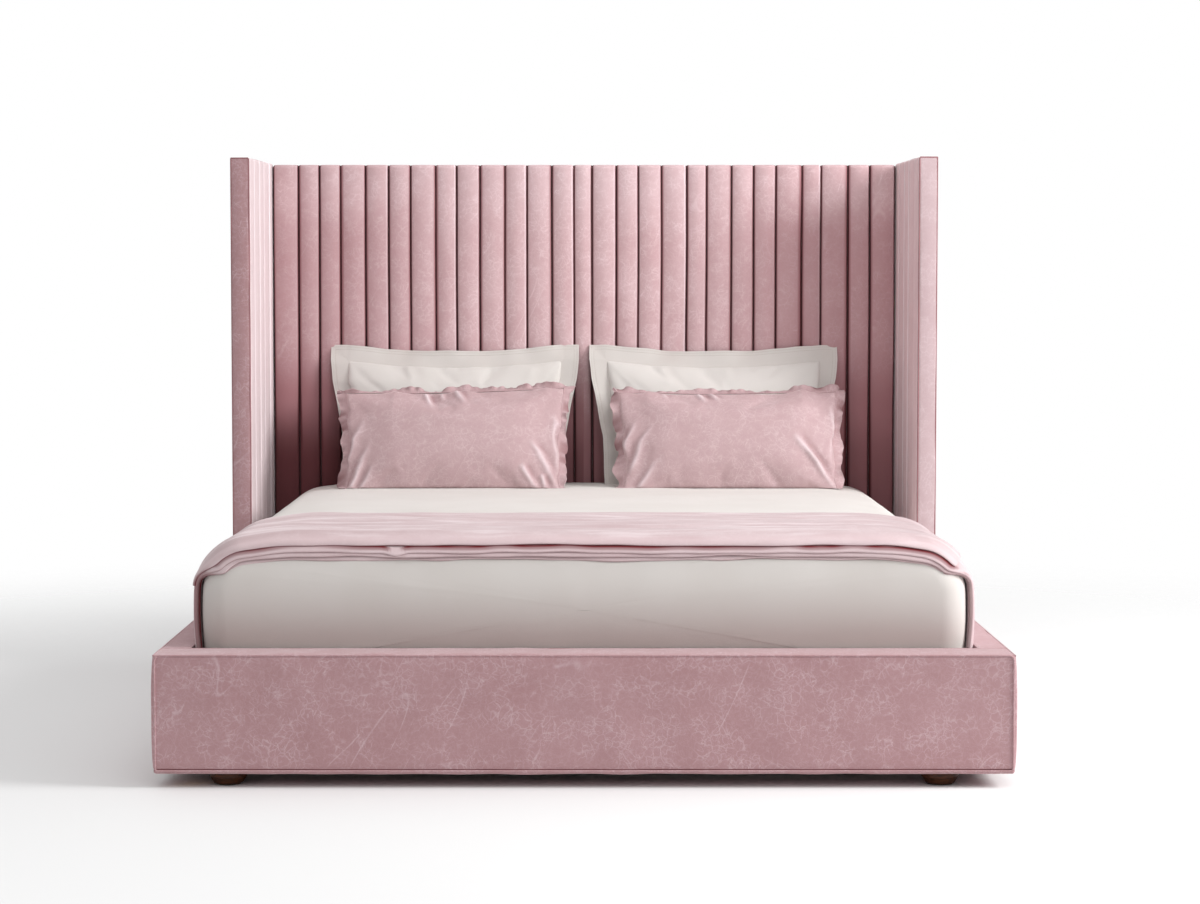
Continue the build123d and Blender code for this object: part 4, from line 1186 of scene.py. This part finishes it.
def flange_stations(pillow, sewn, points):
    """Places round a filled case's seam, up its left side, over its top and down its right.

    Gives each place's point on the seam, its way to the hem in flange widths, and how far round it is.
    """
    front = sewn["front"]
    seam, ways = [], []
    for numbers, way in ((front[0, :], (-1, 0)), (front[:, -1], (0, 1)), (front[-1, ::-1], (1, 0))):
        side = points[numbers]
        lengths = travelled(side)
        seam.append(points_at(side, lengths, np.linspace(0, lengths[-1], round(lengths[-1] / STATION_STEP))))
        ways.append(np.tile(np.array(way, float), (len(seam[-1]), 1)))
        if way[0] < 1:
            first = math.pi if way[0] < 0 else math.pi / 2
            turn = first - np.arange(1, CORNER_STEPS) / CORNER_STEPS * math.pi / 2
            spread = np.stack([np.cos(turn), np.sin(turn)], axis=1)
            ways.append(spread / np.abs(spread).max(axis=1)[:, None])
            seam.append(np.tile(side[-1], (CORNER_STEPS - 1, 1)))
    seam, ways = np.concatenate(seam), np.concatenate(ways)
    return seam, ways, travelled(seam[:, [0, 2]] + ways * pillow.case.flange)


def flange_at(pillow, seam, ways, length, shares):
    """The flange's middle surface at these shares of the way to its hem, and its gathers' painted shade."""
    case = pillow.case
    spots = together(length, 0, 0)
    reach, wave = np.ones_like(length), np.zeros_like(length)
    for number, (depth, size, scallop) in enumerate(case.waves):
        seed = pillow.seed + 10 * number
        wave += depth * wobble(spots, size, seed, (1, 0, 0))
        reach -= scallop * (0.5 + 0.5 * wobble(spots, size * 1.1, seed + 5, (1, 0, 0)))
    reach = np.clip(reach, 0.3, 1.1)
    height = np.interp(seam[:, 0] / np.abs(seam[:, 0]).max(), *zip(*pillow.heights))
    aside, upward = ways[:, 0] * case.flange[0], ways[:, 1] * height * case.flange[1]
    lean = case.lean[0] * (1 - ways[:, 1]) + case.lean[1] * ways[:, 1]
    columns = []
    for share in shares:
        flat, out = share * reach * np.cos(lean), share * reach * np.sin(lean)
        y = seam[:, 1] + np.hypot(aside, upward) * out + wave * max(share, 0) ** 1.3
        columns.append(together(seam[:, 0] + aside * flat, y, seam[:, 2] + upward * flat))
    # Painted shade where the waves fall back
    return np.stack(columns, axis=1), np.clip(GATHER_SHADE * np.maximum(wave, 0), 0, 0.3)


def cloth_shell(surface, thick):
    """A sheet of cloth over a grid of points, with rims. Gives its points and faces."""
    normals = np.cross(np.gradient(surface, axis=0), np.gradient(surface, axis=1))
    normals[:, :, 1] -= 1e-9
    ahead = unit(normals) * thick[:, :, None]
    sides = [surface + ahead, surface - ahead]
    grid = np.arange(thick.size).reshape(thick.shape)
    over = quads(grid)
    faces = over + [tuple(v + thick.size for v in quad[::-1]) for quad in over]
    loop = np.concatenate([grid[:-1, 0], grid[-1, :-1], grid[:0:-1, -1], grid[0, :0:-1]])
    for a, b in zip(loop, np.roll(loop, -1)):
        faces.append((int(a), int(a) + thick.size, int(b) + thick.size, int(b)))
    return np.concatenate([side.reshape(-1, 3) for side in sides]), faces


def stitch_beads(line):
    """A row of stitches along a line of points on the flange's front."""
    lengths = travelled(line)
    outside = np.array([0.0, -1.0, 0.0])
    beads, faces = [], []
    for place in np.arange(STITCH_GAP, lengths[-1] - STITCH, STITCH + STITCH_GAP):
        start, end = points_at(line, lengths, np.array([place, place + STITCH]))
        aside = unit(np.cross(end - start, outside))
        first = len(beads)
        for share, swell in ((0.0, 0.25), (0.25, 1.0), (0.75, 1.0), (1.0, 0.25)):
            for turn in range(5):
                angle = 2 * math.pi * turn / 5
                ring = math.cos(angle) * aside + math.sin(angle) * outside
                beads.append(start + (end - start) * share + STITCH_RADIUS * swell * ring)
        faces += grid_faces(4, 5, around=True, first=first)
        faces += [tuple(range(first, first + 5)), tuple(range(first + 15, first + 20))]
    return beads, faces


def take_mark(mesh, label):
    """Reads marks from a mesh's points and takes them away."""
    layer = mesh.attributes[label]
    values = np.empty(len(mesh.vertices), np.float32)
    layer.data.foreach_get("value", values)
    mesh.attributes.remove(layer)
    return values


def draw_pulls(piece, pulls, scale, lean):
    """Raises ridges in the front cloth with hollows beside them, and paints highlights and shade on them."""
    count = len(piece.data.vertices)
    across, up, ahead = [take_mark(piece.data, label) for label in GUIDES]
    x, z = across * scale[0], up * scale[1]
    raised, bright, dark = np.zeros(count), np.zeros(count), np.zeros(count)
    for x0, z0, x1, z1, width, height in pulls:
        start = np.array([x0 * scale[0], z0 * scale[1]])
        way = np.array([x1 * scale[0], z1 * scale[1]]) - start
        length = np.linalg.norm(way)
        way /= length
        along = ((x - start[0]) * way[0] + (z - start[1]) * way[1]) / length
        aside = (x - start[0]) * way[1] - (z - start[1]) * way[0]
        taper = np.clip(along * 4 + 0.6, 0, 1) * np.clip((1.15 - along) * 1.6, 0, 1)
        crest, hollow = bell(aside, 0, width), bell(aside, -1.9 * width, 1.2 * width)
        raised += height * (crest - 0.6 * hollow) * taper
        bright = np.maximum(bright, PULL_GLOW * height * taper * crest ** 2)
        dark = np.maximum(dark, PULL_SHADE * height * taper * hollow)
    ahead = smooth(ahead, 0.2, 0.9)
    # Painted highlights on the ridges and painted shade in the hollows
    mark(piece.data, "painted_highlight", bright * ahead)
    mark(piece.data, "sunk", dark * ahead)
    places = np.empty(count * 3, np.float32)
    piece.data.vertices.foreach_get("co", places)
    places = places.reshape(-1, 3)
    places[:, 1] -= raised * ahead * math.cos(lean)
    places[:, 2] += raised * ahead * math.sin(lean)
    piece.data.vertices.foreach_set("co", places.ravel())
    piece.data.update()


def make_pillow(name, pillow):
    """One pillow: its filled case, its flange and, on a white one, two rows of stitches."""
    case = pillow.case
    row, side = name.split("_")
    body = row + "_pillow_" + side
    low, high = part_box("pillow_" + name)
    sewn = sew_case(case, pillow.seed)
    points = blow_up("filling_" + name, case, sewn)
    points = shape_body(case, sewn, points)
    setting = Setting(pillow, points, low, high)
    points = setting.sized(points)
    guides = {label: sewn[label] for label in GUIDES}
    piece = make_piece("pillow_case_" + name, (setting.placed(points), sewn["faces"], guides), case.finish,
                       ["pillow_" + name], body, 120.0)
    piece.modifiers.new("soft", "SUBSURF").levels = 1
    mesh = bpy.data.meshes.new_from_object(evaluated(piece))
    piece.modifiers.clear()
    piece.data = mesh
    draw_pulls(piece, pillow.pulls, np.ptp(points, axis=0)[[0, 2]] / 2, case.tilt)
    places = flange_stations(pillow, sewn, points)
    shares = np.concatenate([[-0.15], np.linspace(0, 1, 8)])
    surface, gather_shade = flange_at(pillow, *places, shares)
    surface = setting.placed(surface.reshape(-1, 3)).reshape(surface.shape)
    thick = np.full(surface.shape[:2], FLANGE_CLOTH)
    thick[:, -1] += HEM_ROLL
    out = shares.clip(0, 1)
    # Painted shade on the flange, deepest by the seam and in its gathers
    shade = np.tile((FLANGE_SHADE * (1 - 0.6 * out) + gather_shade[:, None] * out ** 0.5).ravel(), 2)
    make_piece("pillow_flange_" + name, (*cloth_shell(surface, thick), {"sunk": shade}), case.finish,
               body=body, sharp=70.0)
    if case is PINK_CASE:
        return
    beads, faces = [], []
    for inset in STITCH_INSETS:
        line = setting.placed(flange_at(pillow, *places, [1 - inset / case.flange[0]])[0][:, 0])
        line[:, 1] -= FLANGE_CLOTH * 1.05
        row_beads, row_faces = stitch_beads(line)
        faces += [tuple(v + len(beads) for v in face) for face in row_faces]
        beads += row_beads
    make_piece("pillow_stitches_" + name, (beads, faces, {}), THREAD, body=body)


# Studio

PHOTO_WIDTH = 1200
FOCAL_PIXELS = 2773.75
CENTRE_COLUMN = 584.17
SENSOR = 36.0
CAMERA_BACK = 6.3166
CAMERA_HEIGHT = 1.1464
CAMERA_DIP = math.radians(3.378)


def camera():
    """The photograph's view: level with the pillows, looking slightly down at the foot."""
    lens = bpy.data.cameras.new("camera")
    lens.sensor_width = SENSOR
    lens.lens = FOCAL_PIXELS / PHOTO_WIDTH * SENSOR
    lens.shift_x = (PHOTO_WIDTH / 2 - CENTRE_COLUMN) / PHOTO_WIDTH
    lens.clip_end = 100.0
    holder = add_object("camera", lens)
    holder.location = (0.0, cad_low.y - CAMERA_BACK, CAMERA_HEIGHT)
    holder.rotation_euler = (math.pi / 2 - CAMERA_DIP, 0.0, 0.0)
    scene.camera = holder


# Each lamp's place, target, size, power and spread in degrees
LAMPS = {
    "key": ((5.2, -1.8, 3.2), (0.2, 0.1, 0.6), 2.4, 330, 180),
    "front": ((0.8, -5.6, 4.4), (0.0, -0.4, 0.4), 2.4, 20, 180),
    "headboard_light": ((0.9, -3.2, 3.4), (0.1, 1.0, 2.0), 1.0, 5, 50),
}


def lamps():
    """One large soft lamp from the right and a little in front, a weak one in front and one on the pad."""
    for name, (place, target, size, power, spread) in LAMPS.items():
        light = bpy.data.lights.new(name, "AREA")
        light.shape = "SQUARE"
        light.size = size
        light.energy = power
        light.spread = math.radians(spread)
        holder = add_object(name, light)
        holder.location = place
        holder.rotation_euler = (Vector(target) - Vector(place)).to_track_quat("-Z", "Y").to_euler()


SKY_LOW = 0.27
SKY_HIGH = 0.98
FLOOR_REACH = 9.0
FLOOR_FADE = (1.5, 4.6)
FLOOR_WHITE = 0.83


def surround():
    """A white world: full white where the camera sees it, softer where it lights the bed."""
    world = bpy.data.worlds.new("surround")
    scene.world = world
    world.use_nodes = True
    tree = world.node_tree
    rays = Wire(tree).node("LightPath").socket.node.outputs
    seen, mirrored = Wire(tree, rays["Is Camera Ray"]), Wire(tree, rays["Is Glossy Ray"])
    upward = seen.node("SeparateXYZ", {}, {"Vector": seen.node("TexCoord", output="Generated")}, 2)
    lit = SKY_LOW + upward.between(-0.1, 1.0) * (SKY_HIGH - SKY_LOW)
    white = seen.math("MAXIMUM", seen, mirrored)
    join(tree.nodes["Background"], "Strength", white + lit * (1 - white))
    tree.nodes["Background"].inputs["Color"].default_value = (1, 1, 1, 1)


def floor():
    """A white floor that takes the bed's shadow and fades into the surround far from the bed."""
    ring = [(FLOOR_REACH * math.cos(a), FLOOR_REACH * math.sin(a), 0.0)
            for a in np.linspace(0, 2 * math.pi, 97)[:-1]]
    mesh = new_mesh("floor", ring, [row_face(0, len(ring))])
    material, surface, place = finish_of("floor_white", {
        "Roughness": 0.7, "Specular IOR Level": 0.05, "Base Color": (FLOOR_WHITE,) * 3 + (1,)})
    away = place.node("VectorMath", {"operation": "LENGTH"}, {0: place}, 1)
    near = Wire(place.tree, surface.outputs[0])
    faded = place.node("MixShader", {}, {0: away.between(*FLOOR_FADE), 1: near,
                                         2: place.node("BsdfTransparent")})
    join(place.tree.nodes["Material Output"], "Surface", faded)
    mesh.materials.append(material)
    add_object("floor", mesh)


dress_frame()
footboard()
side_rails()
headboard()
wings()
mattress()
throw()
for name, pillow in PILLOWS.items():
    make_pillow(name, pillow)
camera()
surround()
floor()
lamps()
scene.view_settings.view_transform = "Standard"
